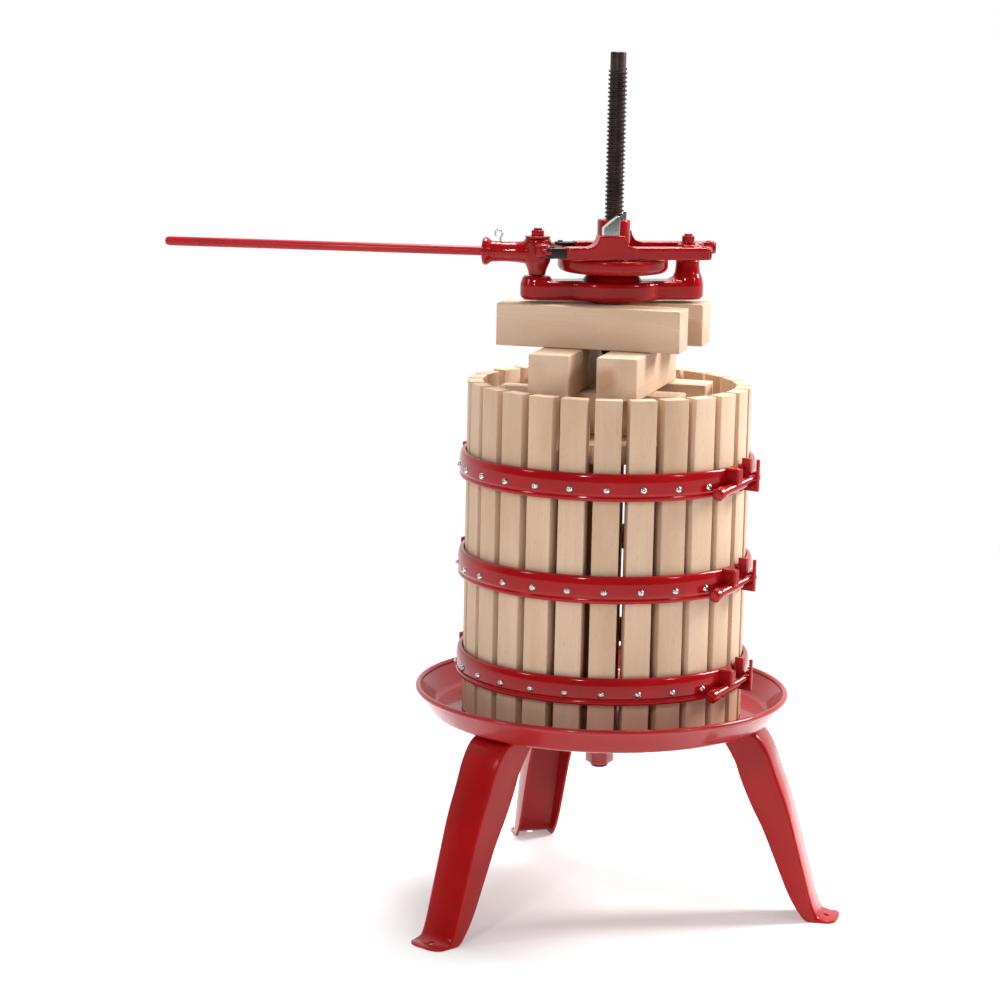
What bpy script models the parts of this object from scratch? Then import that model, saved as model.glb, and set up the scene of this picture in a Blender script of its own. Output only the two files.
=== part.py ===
"""Basket wine press: a three-legged tray, a slatted basket in two hooped halves and a ratchet head.

Units are metres and +Z is up.  Everything is laid out about the spindle's axis, with the floor at z = 0,
and hangs on one empty, which at the end moves the middle of the whole press over the origin.
An azimuth of 0 points to the front (-Y) and grows towards +X.
"""
from math import atan2, cos, hypot, pi, radians, sin, sqrt

import bmesh
import bpy
from mathutils import Matrix, Vector

# ---------------------------------------------------------------- driving sizes
GAP = 0.0004                    # left between pieces that touch

TRAY_RIM_R = 0.2252             # tray
TRAY_RIM_Z = 0.2654
TRAY_FLOOR_Z = 0.2356
TRAY_FLOOR_R = 0.2040
SHEET = 0.0030
SPOUT_AZIMUTH = 180.0
SPOUT_R = 0.0110
SPOUT_REACH = 0.0450

SPINDLE_R = 0.0112              # threaded rod
SPINDLE_TOP_Z = 1.0238
SPINDLE_FOOT_Z = 0.1645
TIP_R = 0.0093
TIP_LENGTH = 0.0160
NUT_ACROSS_FLATS = 0.0300

LEG_AZIMUTHS = (78.2, -41.8, -161.8)
LEG_SHEET = 0.0030
LEG_HALF_TOP = 0.0305
LEG_HALF_FOOT = 0.0255
FOOT_REACH = 0.2990
FOOT_HOLE_R = 0.0040
FOOT_HOLE_AT = 0.2845

STAVE_COUNT = 26                # basket
STAVE_WIDTH = 0.0310
STAVE_THICK = 0.0180
STAVE_LENGTH = 0.4000
BASKET_R = 0.1680
SPLIT_AZIMUTH = 62.3
REAR_FIRST_AZIMUTH = 69.6
REAR_PITCH = 13.56
HOOP_LINES = (0.5363, 0.4174, 0.2976)
HOOP_HEIGHT = 0.0320
HOOP_INNER_R = 0.1700
HOOP_OUTER_R = 0.1770
HOOP_SHEET = 0.0028
HOOK_R = 0.1868

BOLT_MIDDLE = 55.2              # draw bolts: the azimuth that their middle faces
BOLT_LINE_R = 0.1850
BOLT_DROP = 0.0040
BOLT_TILT = 8.0
BOLT_SHANK_R = 0.0038
BOLT_REACH = (-0.0470, 0.0405)
BARREL_RANGE = (-0.0325, 0.0125)
FRONT_LUG_ALONG = -0.0060       # lugs: how far from the bolt's middle
REAR_LUG_ALONG = 0.0335

BLOCK_TOP_Z = 0.7305            # timber under the head
BLOCK_HEIGHT = 0.0495
BLOCK_WIDTH = 0.0480
BLOCK_LENGTH = 0.2200
BLOCK_TURN = -12.9
BOARD_R = 0.1460
BOARD_THICK = 0.0220

HEAD_TURN = 14.0                # ratchet head
POST_REACH = 0.0915
SWING_AT_REST = -19.0
EAR_ALONG = 0.0220
EAR_ACROSS = 0.0440
FLANGE_R = 0.0655
FLANGE_Z = (0.7660, 0.7840)
HUB_R = 0.0195
HUB_TOP_Z = 0.8285
ARM_Z = (0.7853, 0.8000)
ARM_HALF = 0.0090
EAR_Z = (0.7900, 0.7952)
EAR_R = 0.0068
BOSS_TOP_Z = 0.8135
PIN_R = 0.0031
BOLT_R = 0.0050
BAR_Z = 0.7890
BAR_R = 0.0055
BAR_REACH = 0.4470
SOCKET_REACH = 0.0640
CLIP_REACH = 0.0440
CLIP_WIRE_R = 0.0012
YOKE_BAR_Z = (0.7345, 0.7570)
YOKE_HALF = 0.0195
YOKE_SWELL = (0.0580, 0.0385)

STAVE_PITCH = 360.0 / STAVE_COUNT
FIRST_REAR_STAVE = 5
STAVE_FOOT_Z = TRAY_FLOOR_Z + GAP


# ---------------------------------------------------------------- scene and materials
def empty_the_scene():
    for obj in list(bpy.data.objects):
        bpy.data.objects.remove(obj, do_unlink=True)


def new_collection(name):
    collection = bpy.data.collections.new(name)
    bpy.context.scene.collection.children.link(collection)
    return collection


def material(name, colour, roughness, metallic=0.0):
    finish = bpy.data.materials.new(name)
    finish.use_nodes = True
    shader = finish.node_tree.nodes["Principled BSDF"]
    shader.inputs["Base Color"].default_value = (*colour, 1.0)
    shader.inputs["Roughness"].default_value = roughness
    shader.inputs["Metallic"].default_value = metallic
    return finish


# ---------------------------------------------------------------- small geometry helpers
def polar(azimuth, radius, z=0.0):
    """The point at an azimuth in degrees from the front."""
    turn = radians(azimuth)
    return Vector((radius * sin(turn), -radius * cos(turn), z))


def to_object(name, bm, collection, smooth_angle=None):
    """A new object that takes over the bmesh, with its normals made consistent."""
    bmesh.ops.recalc_face_normals(bm, faces=bm.faces)
    mesh = bpy.data.meshes.new(name)
    bm.to_mesh(mesh)
    bm.free()
    if smooth_angle:
        mesh.shade_smooth()
        mesh.set_sharp_from_angle(angle=radians(smooth_angle))
    obj = bpy.data.objects.new(name, mesh)
    collection.objects.link(obj)
    return obj


def box(name, low, high, collection):
    bm = bmesh.new()
    bmesh.ops.create_cube(bm, size=1.0)
    low, high = Vector(low), Vector(high)
    bmesh.ops.scale(bm, vec=high - low, verts=bm.verts)
    bmesh.ops.translate(bm, vec=(low + high) / 2, verts=bm.verts)
    return to_object(name, bm, collection)


def cylinder(name, radius, z_low, z_high, collection, at=(0.0, 0.0), segments=24, top_radius=None):
    """An upright cylinder, cone frustum or prism."""
    bm = bmesh.new()
    top = radius if top_radius is None else top_radius
    bmesh.ops.create_cone(bm, cap_ends=True, segments=segments, radius1=radius, radius2=top,
                          depth=z_high - z_low)
    bmesh.ops.translate(bm, vec=(at[0], at[1], (z_low + z_high) / 2), verts=bm.verts)
    return to_object(name, bm, collection, 40)


def lathe(name, profile, collection, steps=48, closed=False):
    """A turned shape: the profile's (radius, z) points, from the top down the outer side."""
    bm = bmesh.new()
    verts = [bm.verts.new((radius, 0.0, z)) for radius, z in profile]
    for first, second in zip(verts, verts[1:]):
        bm.edges.new((first, second))
    if closed:
        bm.edges.new((verts[-1], verts[0]))
    mesh = bpy.data.meshes.new(name)
    bm.to_mesh(mesh)
    bm.free()
    obj = bpy.data.objects.new(name, mesh)
    collection.objects.link(obj)
    screw = obj.modifiers.new("turn", "SCREW")
    screw.steps = screw.render_steps = steps
    screw.use_merge_vertices = True
    screw.merge_threshold = 0.00001
    return bake(obj, smooth_angle=35)


def plate(name, outline, z_low, z_high, collection):
    """A flat outline given as (x, y) points, made as thick as z_low to z_high."""
    curve = bpy.data.curves.new(name, "CURVE")
    curve.dimensions = "2D"
    curve.fill_mode = "BOTH"
    curve.extrude = (z_high - z_low) / 2
    spline = curve.splines.new("POLY")
    spline.points.add(len(outline) - 1)
    for point, (x, y) in zip(spline.points, outline):
        point.co = (x, y, 0.0, 1.0)
    spline.use_cyclic_u = True
    obj = bpy.data.objects.new(name, curve)
    obj.location.z = (z_low + z_high) / 2
    collection.objects.link(obj)
    return bake(obj, smooth_angle=35)


def arc(centre, radius, start, end, steps):
    """Points of an arc, from start to end in degrees from +X."""
    angles = [radians(start + (end - start) * k / steps) for k in range(steps + 1)]
    return [(centre[0] + radius * cos(a), centre[1] + radius * sin(a)) for a in angles]


def stadium(start, end, half_width, steps=6):
    """The outline of a flat bar with round ends between two centres."""
    heading = atan2(end[1] - start[1], end[0] - start[0]) * 180 / pi
    return (arc(end, half_width, heading - 90, heading + 90, steps)
            + arc(start, half_width, heading + 90, heading + 270, steps))


def bake(obj, smooth_angle=None):
    """Replace an object by the plain mesh that its modifiers or curve give, placed in its mesh."""
    bpy.context.view_layer.update()
    evaluated = obj.evaluated_get(bpy.context.evaluated_depsgraph_get())
    mesh = bpy.data.meshes.new_from_object(evaluated)
    mesh.transform(obj.matrix_world)
    bm = bmesh.new()
    bm.from_mesh(mesh)
    bmesh.ops.remove_doubles(bm, verts=bm.verts, dist=0.00001)
    bmesh.ops.recalc_face_normals(bm, faces=bm.faces)
    bm.to_mesh(mesh)
    bm.free()
    if smooth_angle:
        mesh.shade_smooth()
        mesh.set_sharp_from_angle(angle=radians(smooth_angle))
    name, collection = obj.name, obj.users_collection[0]
    bpy.data.objects.remove(obj, do_unlink=True)
    baked = bpy.data.objects.new(name, mesh)
    collection.objects.link(baked)
    return baked


def combine(obj, operation, others):
    """Join others to obj, or cut them out of it, one after the other, and remove them."""
    for other in others:
        modifier = obj.modifiers.new(operation.lower(), "BOOLEAN")
        modifier.operation = operation
        modifier.solver = "EXACT"
        modifier.object = other
        obj = bake(obj, smooth_angle=35)
        bpy.data.objects.remove(other, do_unlink=True)
    return obj


def transform(obj, matrix):
    obj.data.transform(matrix)
    return obj


def bevel(obj, width, segments=1):
    modifier = obj.modifiers.new("edges", "BEVEL")
    modifier.width = width
    modifier.segments = segments
    modifier.limit_method = "ANGLE"
    modifier.angle_limit = radians(50)
    return bake(obj, smooth_angle=35)


def place(obj, origin, finish, parent):
    """Put the object's own origin at its joint or centre, keep its shape in place, and hang it up."""
    origin = Vector(origin)
    obj.data.transform(Matrix.Translation(-origin))
    obj.location = origin
    obj.data.materials.clear()
    obj.data.materials.append(finish)
    obj.parent = parent
    return obj


# ---------------------------------------------------------------- frames used by several pieces
def head_point(along, across, z=0.0):
    """A point of the ratchet head's own frame, where `along` runs from the lever post to the other."""
    turn = radians(HEAD_TURN)
    return Vector((along * cos(turn) - across * sin(turn), along * sin(turn) + across * cos(turn), z))


def ear_offset(side):
    """From a post to the pin of the front (-1) or back (+1) arm, at rest, in the head's frame."""
    swing = radians(SWING_AT_REST)
    along = EAR_ALONG * cos(swing) - side * EAR_ACROSS * sin(swing)
    across = EAR_ALONG * sin(swing) + side * EAR_ACROSS * cos(swing)
    return along, across


HEAD_MATRIX = Matrix.Rotation(radians(HEAD_TURN), 4, "Z")
LEVER_MATRIX = (Matrix.Translation(head_point(-POST_REACH, 0.0))
                @ Matrix.Rotation(radians(HEAD_TURN + SWING_AT_REST), 4, "Z"))
ROCKER_MATRIX = (Matrix.Translation(head_point(POST_REACH, 0.0))
                 @ Matrix.Rotation(radians(HEAD_TURN + SWING_AT_REST), 4, "Z"))


# ---------------------------------------------------------------- stand
def build_tray(parts):
    under = TRAY_FLOOR_Z - SHEET
    wall = TRAY_RIM_R - TRAY_FLOOR_R
    profile = [
        (TRAY_RIM_R - 0.0020, TRAY_RIM_Z), (TRAY_RIM_R, TRAY_RIM_Z - 0.0016),
        (TRAY_RIM_R - 0.0012, TRAY_RIM_Z - 0.0050), (TRAY_FLOOR_R + 0.12 * wall, under + 0.0034),
        (TRAY_FLOOR_R, under + 0.0008), (TRAY_FLOOR_R - 0.0030, under),
        (SPINDLE_R + 0.0008, under), (SPINDLE_R + 0.0008, TRAY_FLOOR_Z),
        (TRAY_FLOOR_R - 0.0050, TRAY_FLOOR_Z), (TRAY_FLOOR_R - 0.0018, TRAY_FLOOR_Z + 0.0022),
        (TRAY_RIM_R - 0.0050, TRAY_RIM_Z - 0.0055), (TRAY_RIM_R - 0.0042, TRAY_RIM_Z - 0.0010),
    ]
    tray = lathe("tray", profile, parts, steps=56, closed=True)
    turn = Matrix.Rotation(radians(SPOUT_AZIMUTH), 4, "Z")
    middle = TRAY_FLOOR_Z + SPOUT_R + 0.0022
    aim = turn @ Matrix.Translation((0, 0, middle)) @ Matrix.Rotation(radians(90), 4, "X")
    pipe = transform(cylinder("pipe", SPOUT_R + 0.0024, TRAY_FLOOR_R + 0.0060,
                              TRAY_FLOOR_R + SPOUT_REACH, parts), aim)
    bore = transform(cylinder("bore", SPOUT_R, TRAY_FLOOR_R - 0.0060,
                              TRAY_FLOOR_R + SPOUT_REACH + 0.01, parts), aim)
    tray = combine(tray, "UNION", [pipe])
    return combine(tray, "DIFFERENCE", [bore])


def build_spindle(parts):
    top, foot = SPINDLE_TOP_Z, SPINDLE_FOOT_Z
    collar_z = TRAY_FLOOR_Z + GAP
    under = TRAY_FLOOR_Z - SHEET - GAP
    profile = [
        (0.0, top), (TIP_R - 0.0012, top), (TIP_R, top - 0.0012), (TIP_R, top - TIP_LENGTH),
        (SPINDLE_R, top - TIP_LENGTH - 0.0020), (SPINDLE_R, collar_z + 0.0110),
        (0.0180, collar_z + 0.0100), (0.0190, collar_z + 0.0080), (0.0190, collar_z),
        (SPINDLE_R, collar_z), (SPINDLE_R, under), (0.0150, under), (0.0150, foot + 0.0280),
        (0.0110, foot + 0.0270), (0.0110, foot + 0.0060), (0.0130, foot + 0.0050), (0.0130, foot + 0.0020),
        (0.0105, foot), (0.0, foot),
    ]
    rod = lathe("spindle", profile, parts, steps=20)
    head = cylinder("nut", NUT_ACROSS_FLATS / sqrt(3), foot + 0.0055, foot + 0.0272, parts, segments=6)
    return combine(rod, "UNION", [head])


def leg_stations():
    """Along the leg: the outer face's (radius, z), the flange edge's (radius, z) and the half width."""
    top = TRAY_FLOOR_Z - SHEET - GAP
    outer = [
        (0.1500, top), (0.1760, top), (0.1910, top - 0.0028), (0.2015, top - 0.0110),
        (0.2125, top - 0.0290), (0.2225, 0.1765), (0.2345, 0.1460), (0.2435, 0.1175), (0.2535, 0.0815),
        (0.2640, 0.0445), (0.2705, 0.0225), (0.2765, 0.0090), (0.2840, LEG_SHEET),
        (0.2925, LEG_SHEET), (0.2972, LEG_SHEET), (FOOT_REACH, LEG_SHEET),
    ]
    edge = [
        (0.1500, top - 0.0060), (0.1585, top - 0.0190), (0.1635, top - 0.0270), (0.1680, top - 0.0350),
        (0.1725, top - 0.0440), (0.1800, 0.1670), (0.1935, 0.1370), (0.2080, 0.1090), (0.2245, 0.0700),
        (0.2400, 0.0340), (0.2530, 0.0120), (0.2650, 0.0), (0.2840, 0.0),
        (0.2925, 0.0), (0.2972, 0.0), (FOOT_REACH, 0.0),
    ]
    return outer, edge


def leg_section(outer, edge, half):
    """The U of pressed sheet at one station, as (radius, across, z) points."""
    depth = hypot(edge[0] - outer[0], edge[1] - outer[1])
    inward = ((edge[0] - outer[0]) / depth, (edge[1] - outer[1]) / depth)
    root = (outer[0] + inward[0] * LEG_SHEET, outer[1] + inward[1] * LEG_SHEET)
    inner = half - LEG_SHEET
    rows = [(outer, -half), (outer, half), (edge, half), (edge, inner),
            (root, inner), (root, -inner), (edge, -inner), (edge, -half)]
    return [(r, across, z) for (r, z), across in rows]


def build_leg(name, azimuth, parts):
    outer, edge = leg_stations()
    count = len(outer)
    halves = [LEG_HALF_TOP + (LEG_HALF_FOOT - LEG_HALF_TOP) * min(1.0, k / (count - 4)) for k in range(count)]
    halves[-3:] = [LEG_HALF_FOOT * f for f in (0.92, 0.68, 0.30)]
    bm = bmesh.new()
    rings = []
    for station in range(count):
        section = leg_section(outer[station], edge[station], halves[station])
        rings.append([bm.verts.new(point) for point in section])
    size = len(rings[0])
    for ring, following in zip(rings, rings[1:]):
        for k in range(size):
            bm.faces.new((ring[k], ring[(k + 1) % size], following[(k + 1) % size], following[k]))
    bm.faces.new(rings[0])
    bm.faces.new(rings[-1])
    bmesh.ops.remove_doubles(bm, verts=bm.verts, dist=0.00001)
    bmesh.ops.dissolve_degenerate(bm, edges=bm.edges, dist=0.00001)
    bmesh.ops.triangulate(bm, faces=bm.faces)
    leg = to_object(name, bm, parts, 30)
    hole = cylinder("hole", FOOT_HOLE_R, -0.01, 0.02, parts, at=(FOOT_HOLE_AT, 0.0), segments=20)
    leg = combine(leg, "DIFFERENCE", [hole])
    return transform(leg, Matrix.Rotation(radians(azimuth - 90.0), 4, "Z"))


# ---------------------------------------------------------------- basket
def build_stave(name, azimuth, parts):
    inner_r = BASKET_R - STAVE_THICK
    stave = box(name, (-STAVE_WIDTH / 2, -BASKET_R, STAVE_FOOT_Z),
                (STAVE_WIDTH / 2, -inner_r, STAVE_FOOT_Z + STAVE_LENGTH), parts)
    stave = bevel(stave, 0.0012)
    return transform(stave, Matrix.Rotation(radians(azimuth), 4, "Z"))


def hoop_band(name, line_z, start, end, parts):
    """A rolled channel, open to the staves, swept from one azimuth to another."""
    half = HOOP_HEIGHT / 2
    inner, outer, sheet = HOOP_INNER_R, HOOP_OUTER_R, HOOP_SHEET
    section = [
        (inner, half), (outer, half), (outer, -half), (inner, -half), (inner, -half + sheet),
        (outer - sheet, -half + sheet), (outer - sheet, half - sheet), (inner, half - sheet),
    ]
    steps = 20
    bm = bmesh.new()
    rings = []
    for k in range(steps + 1):
        azimuth = start + (end - start) * k / steps
        rings.append([bm.verts.new(polar(azimuth, r, line_z + z)) for r, z in section])
    size = len(section)
    for ring, following in zip(rings, rings[1:]):
        for k in range(size):
            bm.faces.new((ring[k], ring[(k + 1) % size], following[(k + 1) % size], following[k]))
    bm.faces.new(rings[0])
    bm.faces.new(rings[-1])
    return to_object(name, bm, parts, 30)


def lug(azimuth, inner, outer, z_low, z_high, thick, parts, along=0.0):
    """An upright plate standing out of a hoop, moved along the tangent of the azimuth it faces."""
    block = box("lug", (along - thick / 2, -outer, z_low), (along + thick / 2, -inner, z_high), parts)
    return transform(block, Matrix.Rotation(radians(azimuth), 4, "Z"))


def bolt_matrix(line_z):
    """Puts local +Z along a draw bolt, from its head to its nut."""
    middle = polar(BOLT_MIDDLE, BOLT_LINE_R, line_z - BOLT_DROP)
    return (Matrix.Translation(middle) @ Matrix.Rotation(radians(BOLT_MIDDLE), 4, "Z")
            @ Matrix.Rotation(radians(90.0 - BOLT_TILT), 4, "Y"))


def build_draw_bolt(name, line_z, parts):
    (low, high), shank = BOLT_REACH, BOLT_SHANK_R
    profile = [
        (0.0, high), (0.0046, high - 0.0002), (0.0062, high - 0.0012), (0.0062, high - 0.0035),
        (shank, high - 0.0035), (shank, low + 0.0130), (0.0072, low + 0.0130), (0.0080, low + 0.0110),
        (0.0078, low + 0.0040), (0.0058, low + 0.0012), (0.0, low),
    ]
    return transform(lathe(name, profile, parts, steps=12), bolt_matrix(line_z))


def build_front_hoop(name, line_z, parts):
    """The front half of a hoop, with the draw bolt's barrel, its lug and the hidden side's hook."""
    hidden = SPLIT_AZIMUTH - 180.0
    hoop = hoop_band(name, line_z, hidden + 1.6, SPLIT_AZIMUTH - 1.8, parts)
    matrix = bolt_matrix(line_z)
    barrel = transform(cylinder("barrel", 0.0060, *BARREL_RANGE, parts, segments=14), matrix)
    saddle = lug(48.2, HOOP_OUTER_R - 0.0015, BOLT_LINE_R + 0.0030, line_z - 0.0145, line_z - 0.0020, 0.0150,
                 parts)
    tab = lug(BOLT_MIDDLE, HOOP_OUTER_R - 0.0050, 0.1925, line_z - 0.0020, line_z + 0.0165, 0.0100, parts,
              FRONT_LUG_ALONG)
    arm = lug(hidden + 3.4, HOOP_OUTER_R - 0.0030, 0.1930, line_z + 0.0010, line_z + 0.0110, 0.0090, parts)
    reach = box("reach", (-0.0165, -0.1930, line_z + 0.0010), (-0.0002, -0.1800, line_z + 0.0110), parts)
    reach = transform(reach, Matrix.Rotation(radians(hidden + 3.4), 4, "Z"))
    centre = polar(hidden, HOOK_R)
    pin = cylinder("pin", 0.0038, line_z - 0.0130, line_z + 0.0060, parts, at=centre.xy, segments=12)
    hoop = combine(hoop, "UNION", [saddle, barrel, tab, arm, reach, pin])
    bore = transform(cylinder("bore", BOLT_SHANK_R + 0.0005, -0.05, 0.05, parts, segments=12), matrix)
    return combine(hoop, "DIFFERENCE", [bore])


def build_rear_hoop(name, line_z, parts):
    """The rear half of a hoop, with an open slot for the draw bolt and an eye for the hook."""
    hidden = SPLIT_AZIMUTH - 180.0
    hoop = hoop_band(name, line_z, SPLIT_AZIMUTH + 1.8, SPLIT_AZIMUTH + 180.0 - 1.6, parts)
    tab = lug(BOLT_MIDDLE, HOOP_OUTER_R - 0.0080, 0.1925, line_z - 0.0150, line_z + 0.0230, 0.0040, parts,
              REAR_LUG_ALONG)
    centre = polar(hidden, HOOK_R)
    eye = cylinder("eye", 0.0085, line_z - 0.0120, line_z - 0.0004, parts, at=centre.xy, segments=16)
    strap = lug(hidden - 2.9, HOOP_OUTER_R - 0.0030, 0.1925, line_z - 0.0120, line_z - 0.0004, 0.0110, parts)
    hoop = combine(hoop, "UNION", [tab, strap, eye])
    slot = box("slot", (-0.0060, -0.0043, 0.0), (0.0060, 0.0043, 0.0500), parts)
    slot_turn = Matrix.Rotation(radians(BOLT_MIDDLE), 4, "Z")
    at = bolt_matrix(line_z) @ Vector((0.0, 0.0, REAR_LUG_ALONG))
    slot = transform(slot, Matrix.Translation(at + Vector((0.0, 0.0, -0.0048))) @ slot_turn)
    bore = cylinder("bore", 0.0046, line_z - 0.02, line_z + 0.02, parts, at=centre.xy, segments=12)
    return combine(hoop, "DIFFERENCE", [slot, bore])


# ---------------------------------------------------------------- timber
def build_block(name, layer, along, across, parts, crossed=False):
    """A beam of the stack: its range `along` its grain and `across` it, in the stack's own frame."""
    top = BLOCK_TOP_Z - layer * (BLOCK_HEIGHT + GAP)
    if crossed:
        low, high = (across[0], along[0], top - BLOCK_HEIGHT), (across[1], along[1], top)
    else:
        low, high = (along[0], across[0], top - BLOCK_HEIGHT), (along[1], across[1], top)
    beam = bevel(box(name, low, high, parts), 0.0015)
    return transform(beam, Matrix.Rotation(radians(BLOCK_TURN), 4, "Z"))


def cut_angle(offset, radius):
    """The angle in degrees by which a cut at an offset from the middle shortens an arc."""
    return atan2(offset, sqrt(radius * radius - offset * offset)) * 180 / pi


def build_board(name, side, parts):
    """A half-moon pressing board with a notch for the spindle."""
    slack, notch = 0.0010, 0.0150
    top = BLOCK_TOP_Z - 3 * (BLOCK_HEIGHT + GAP)
    rim_turn = cut_angle(slack, BOARD_R)
    notch_turn = cut_angle(slack, notch)
    outline = (arc((0, 0), BOARD_R, -90 + rim_turn, 90 - rim_turn, 28)
               + arc((0, 0), notch, 90 - notch_turn, -90 + notch_turn, 8))
    board = plate(name, outline, top - BOARD_THICK, top, parts)
    turn = BLOCK_TURN + (0.0 if side > 0 else 180.0)
    return transform(board, Matrix.Rotation(radians(turn), 4, "Z"))


# ---------------------------------------------------------------- ratchet head
def build_yoke(parts):
    thrust_top = FLANGE_Z[0] - GAP
    bar = plate("yoke", stadium((-POST_REACH, 0), (POST_REACH, 0), YOKE_HALF), *YOKE_BAR_Z, parts)
    bar = bevel(bar, 0.0045)
    oval = [(YOKE_SWELL[0] * x, YOKE_SWELL[1] * y) for x, y in arc((0, 0), 1.0, 3, 351, 29)]
    swell = plate("swell", oval, YOKE_BAR_Z[0] - 0.0006, YOKE_BAR_Z[1] - 0.0008, parts)
    swell = bevel(swell, 0.0040)
    foot = BLOCK_TOP_Z + GAP
    boss = lathe("boss", [
        (0.0, thrust_top), (0.0250, thrust_top), (0.0330, thrust_top - 0.0040), (0.0352, 0.7562),
        (0.0352, 0.7372), (0.0346, foot + 0.0016), (0.0310, foot), (0.0, foot)], parts, steps=24)
    left = lathe("left", [(0.0, 0.7620), (0.0145, 0.7620), (0.0170, 0.7600), (0.0192, 0.7480),
                          (0.0192, 0.7400), (0.0, 0.7400)], parts, steps=16)
    right = lathe("right", [(0.0, 0.7812), (0.0125, 0.7812), (0.0138, 0.7798), (0.0142, 0.7640),
                            (0.0190, 0.7480), (0.0190, 0.7400), (0.0, 0.7400)], parts, steps=16)
    left = transform(left, Matrix.Translation((-POST_REACH, 0, 0)))
    right = transform(right, Matrix.Translation((POST_REACH, 0, 0)))
    yoke = combine(bar, "UNION", [swell, boss, left, right])
    bore = cylinder("bore", SPINDLE_R + 0.0020, 0.70, 0.80, parts)
    holes = [cylinder("hole", BOLT_R + GAP, 0.70, 0.80, parts, at=(side * POST_REACH, 0), segments=12)
             for side in (-1, 1)]
    return transform(combine(yoke, "DIFFERENCE", [bore, *holes]), HEAD_MATRIX)


def build_ratchet_nut(parts):
    low, top = FLANGE_Z
    bore = SPINDLE_R + 0.0006
    nut = lathe("ratchet_nut", [
        (HUB_R - 0.0015, HUB_TOP_Z), (HUB_R, HUB_TOP_Z - 0.0015), (HUB_R, top + 0.0040),
        (HUB_R + 0.0040, top), (FLANGE_R - 0.0030, top), (FLANGE_R, top - 0.0030),
        (FLANGE_R, low + 0.0065), (FLANGE_R - 0.0035, low + 0.0018), (FLANGE_R - 0.0120, low),
        (bore, low), (bore, HUB_TOP_Z)], parts, steps=32, closed=True)
    count, middle_r = 12, 0.0440
    cutter = bmesh.new()
    for k in range(count):
        pocket = bmesh.ops.create_cube(cutter, size=1.0)["verts"]
        turn = Matrix.Rotation(2 * pi * (k + 0.5) / count, 4, "Z")
        at = Matrix.Translation((middle_r, 0.0, top))
        shape = Matrix.Diagonal((0.0150, 0.0125, 0.0120, 1.0))
        bmesh.ops.transform(cutter, matrix=turn @ at @ shape, verts=pocket)
    pockets = to_object("pockets", cutter, parts)
    return transform(combine(nut, "DIFFERENCE", [pockets]), HEAD_MATRIX)


def eared_casting(name, barrel, parts):
    """A turned barrel on a post with two ears that reach to the arms' pins, in the lever's frame."""
    casting = lathe(name, barrel, parts, steps=20)
    ears = []
    for side in (-1, 1):
        pin = (EAR_ALONG, side * EAR_ACROSS)
        ears.append(plate("ear", stadium((0.004, side * 0.006), pin, EAR_R), *EAR_Z, parts))
    casting = combine(casting, "UNION", ears)
    return casting


def ear_bores(parts):
    return [cylinder("bore", PIN_R + GAP, 0.77, 0.82, parts, at=(EAR_ALONG, side * EAR_ACROSS), segments=12)
            for side in (-1, 1)]


def build_lever(parts):
    """The lever casting with its handle socket, which points along -X in the lever's frame."""
    barrel = [(0.0, 0.8060), (0.0140, 0.8060), (0.0155, 0.8040), (0.0158, 0.7860), (0.0150, 0.7790),
              (0.0100, 0.7680), (0.0095, 0.7625), (0.0, 0.7625)]
    casting = eared_casting("lever", barrel, parts)
    aim = Matrix.Translation((0, 0, BAR_Z)) @ Matrix.Rotation(radians(-90), 4, "Y")
    tube = transform(cylinder("tube", 0.0120, 0.004, SOCKET_REACH, parts, segments=20), aim)
    collar = transform(lathe("collar", [
        (0.0, SOCKET_REACH + 0.0010), (0.0150, SOCKET_REACH + 0.0010), (0.0165, SOCKET_REACH - 0.0010),
        (0.0165, SOCKET_REACH - 0.0045), (0.0120, SOCKET_REACH - 0.0085), (0.0, SOCKET_REACH - 0.0085)],
        parts, steps=20), aim)
    casting = combine(casting, "UNION", [tube, collar])
    bar_hole = transform(cylinder("bar_hole", BAR_R + GAP, 0.0190, 0.08, parts, segments=12), aim)
    post_hole = cylinder("post_hole", BOLT_R + GAP, 0.74, 0.83, parts, segments=12)
    clip_hole = cylinder("clip_hole", 0.0020, BAR_Z, 0.82, parts, at=(-CLIP_REACH, 0), segments=12)
    casting = combine(casting, "DIFFERENCE", [bar_hole, post_hole, clip_hole, *ear_bores(parts)])
    return transform(casting, LEVER_MATRIX)


def build_handle_bar(parts):
    tip = BAR_REACH
    profile = [(0.0, tip), (0.0030, tip - 0.0006), (0.0047, tip - 0.0022), (BAR_R, tip - 0.0055),
               (BAR_R, 0.0205), (0.0, 0.0205)]
    aim = Matrix.Translation((0, 0, BAR_Z)) @ Matrix.Rotation(radians(-90), 4, "Y")
    bar = transform(lathe("handle_bar", profile, parts, steps=14), aim)
    hole = cylinder("hole", 0.0020, BAR_Z, 0.82, parts, at=(-CLIP_REACH, 0), segments=12)
    return transform(combine(bar, "DIFFERENCE", [hole]), LEVER_MATRIX)


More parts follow.
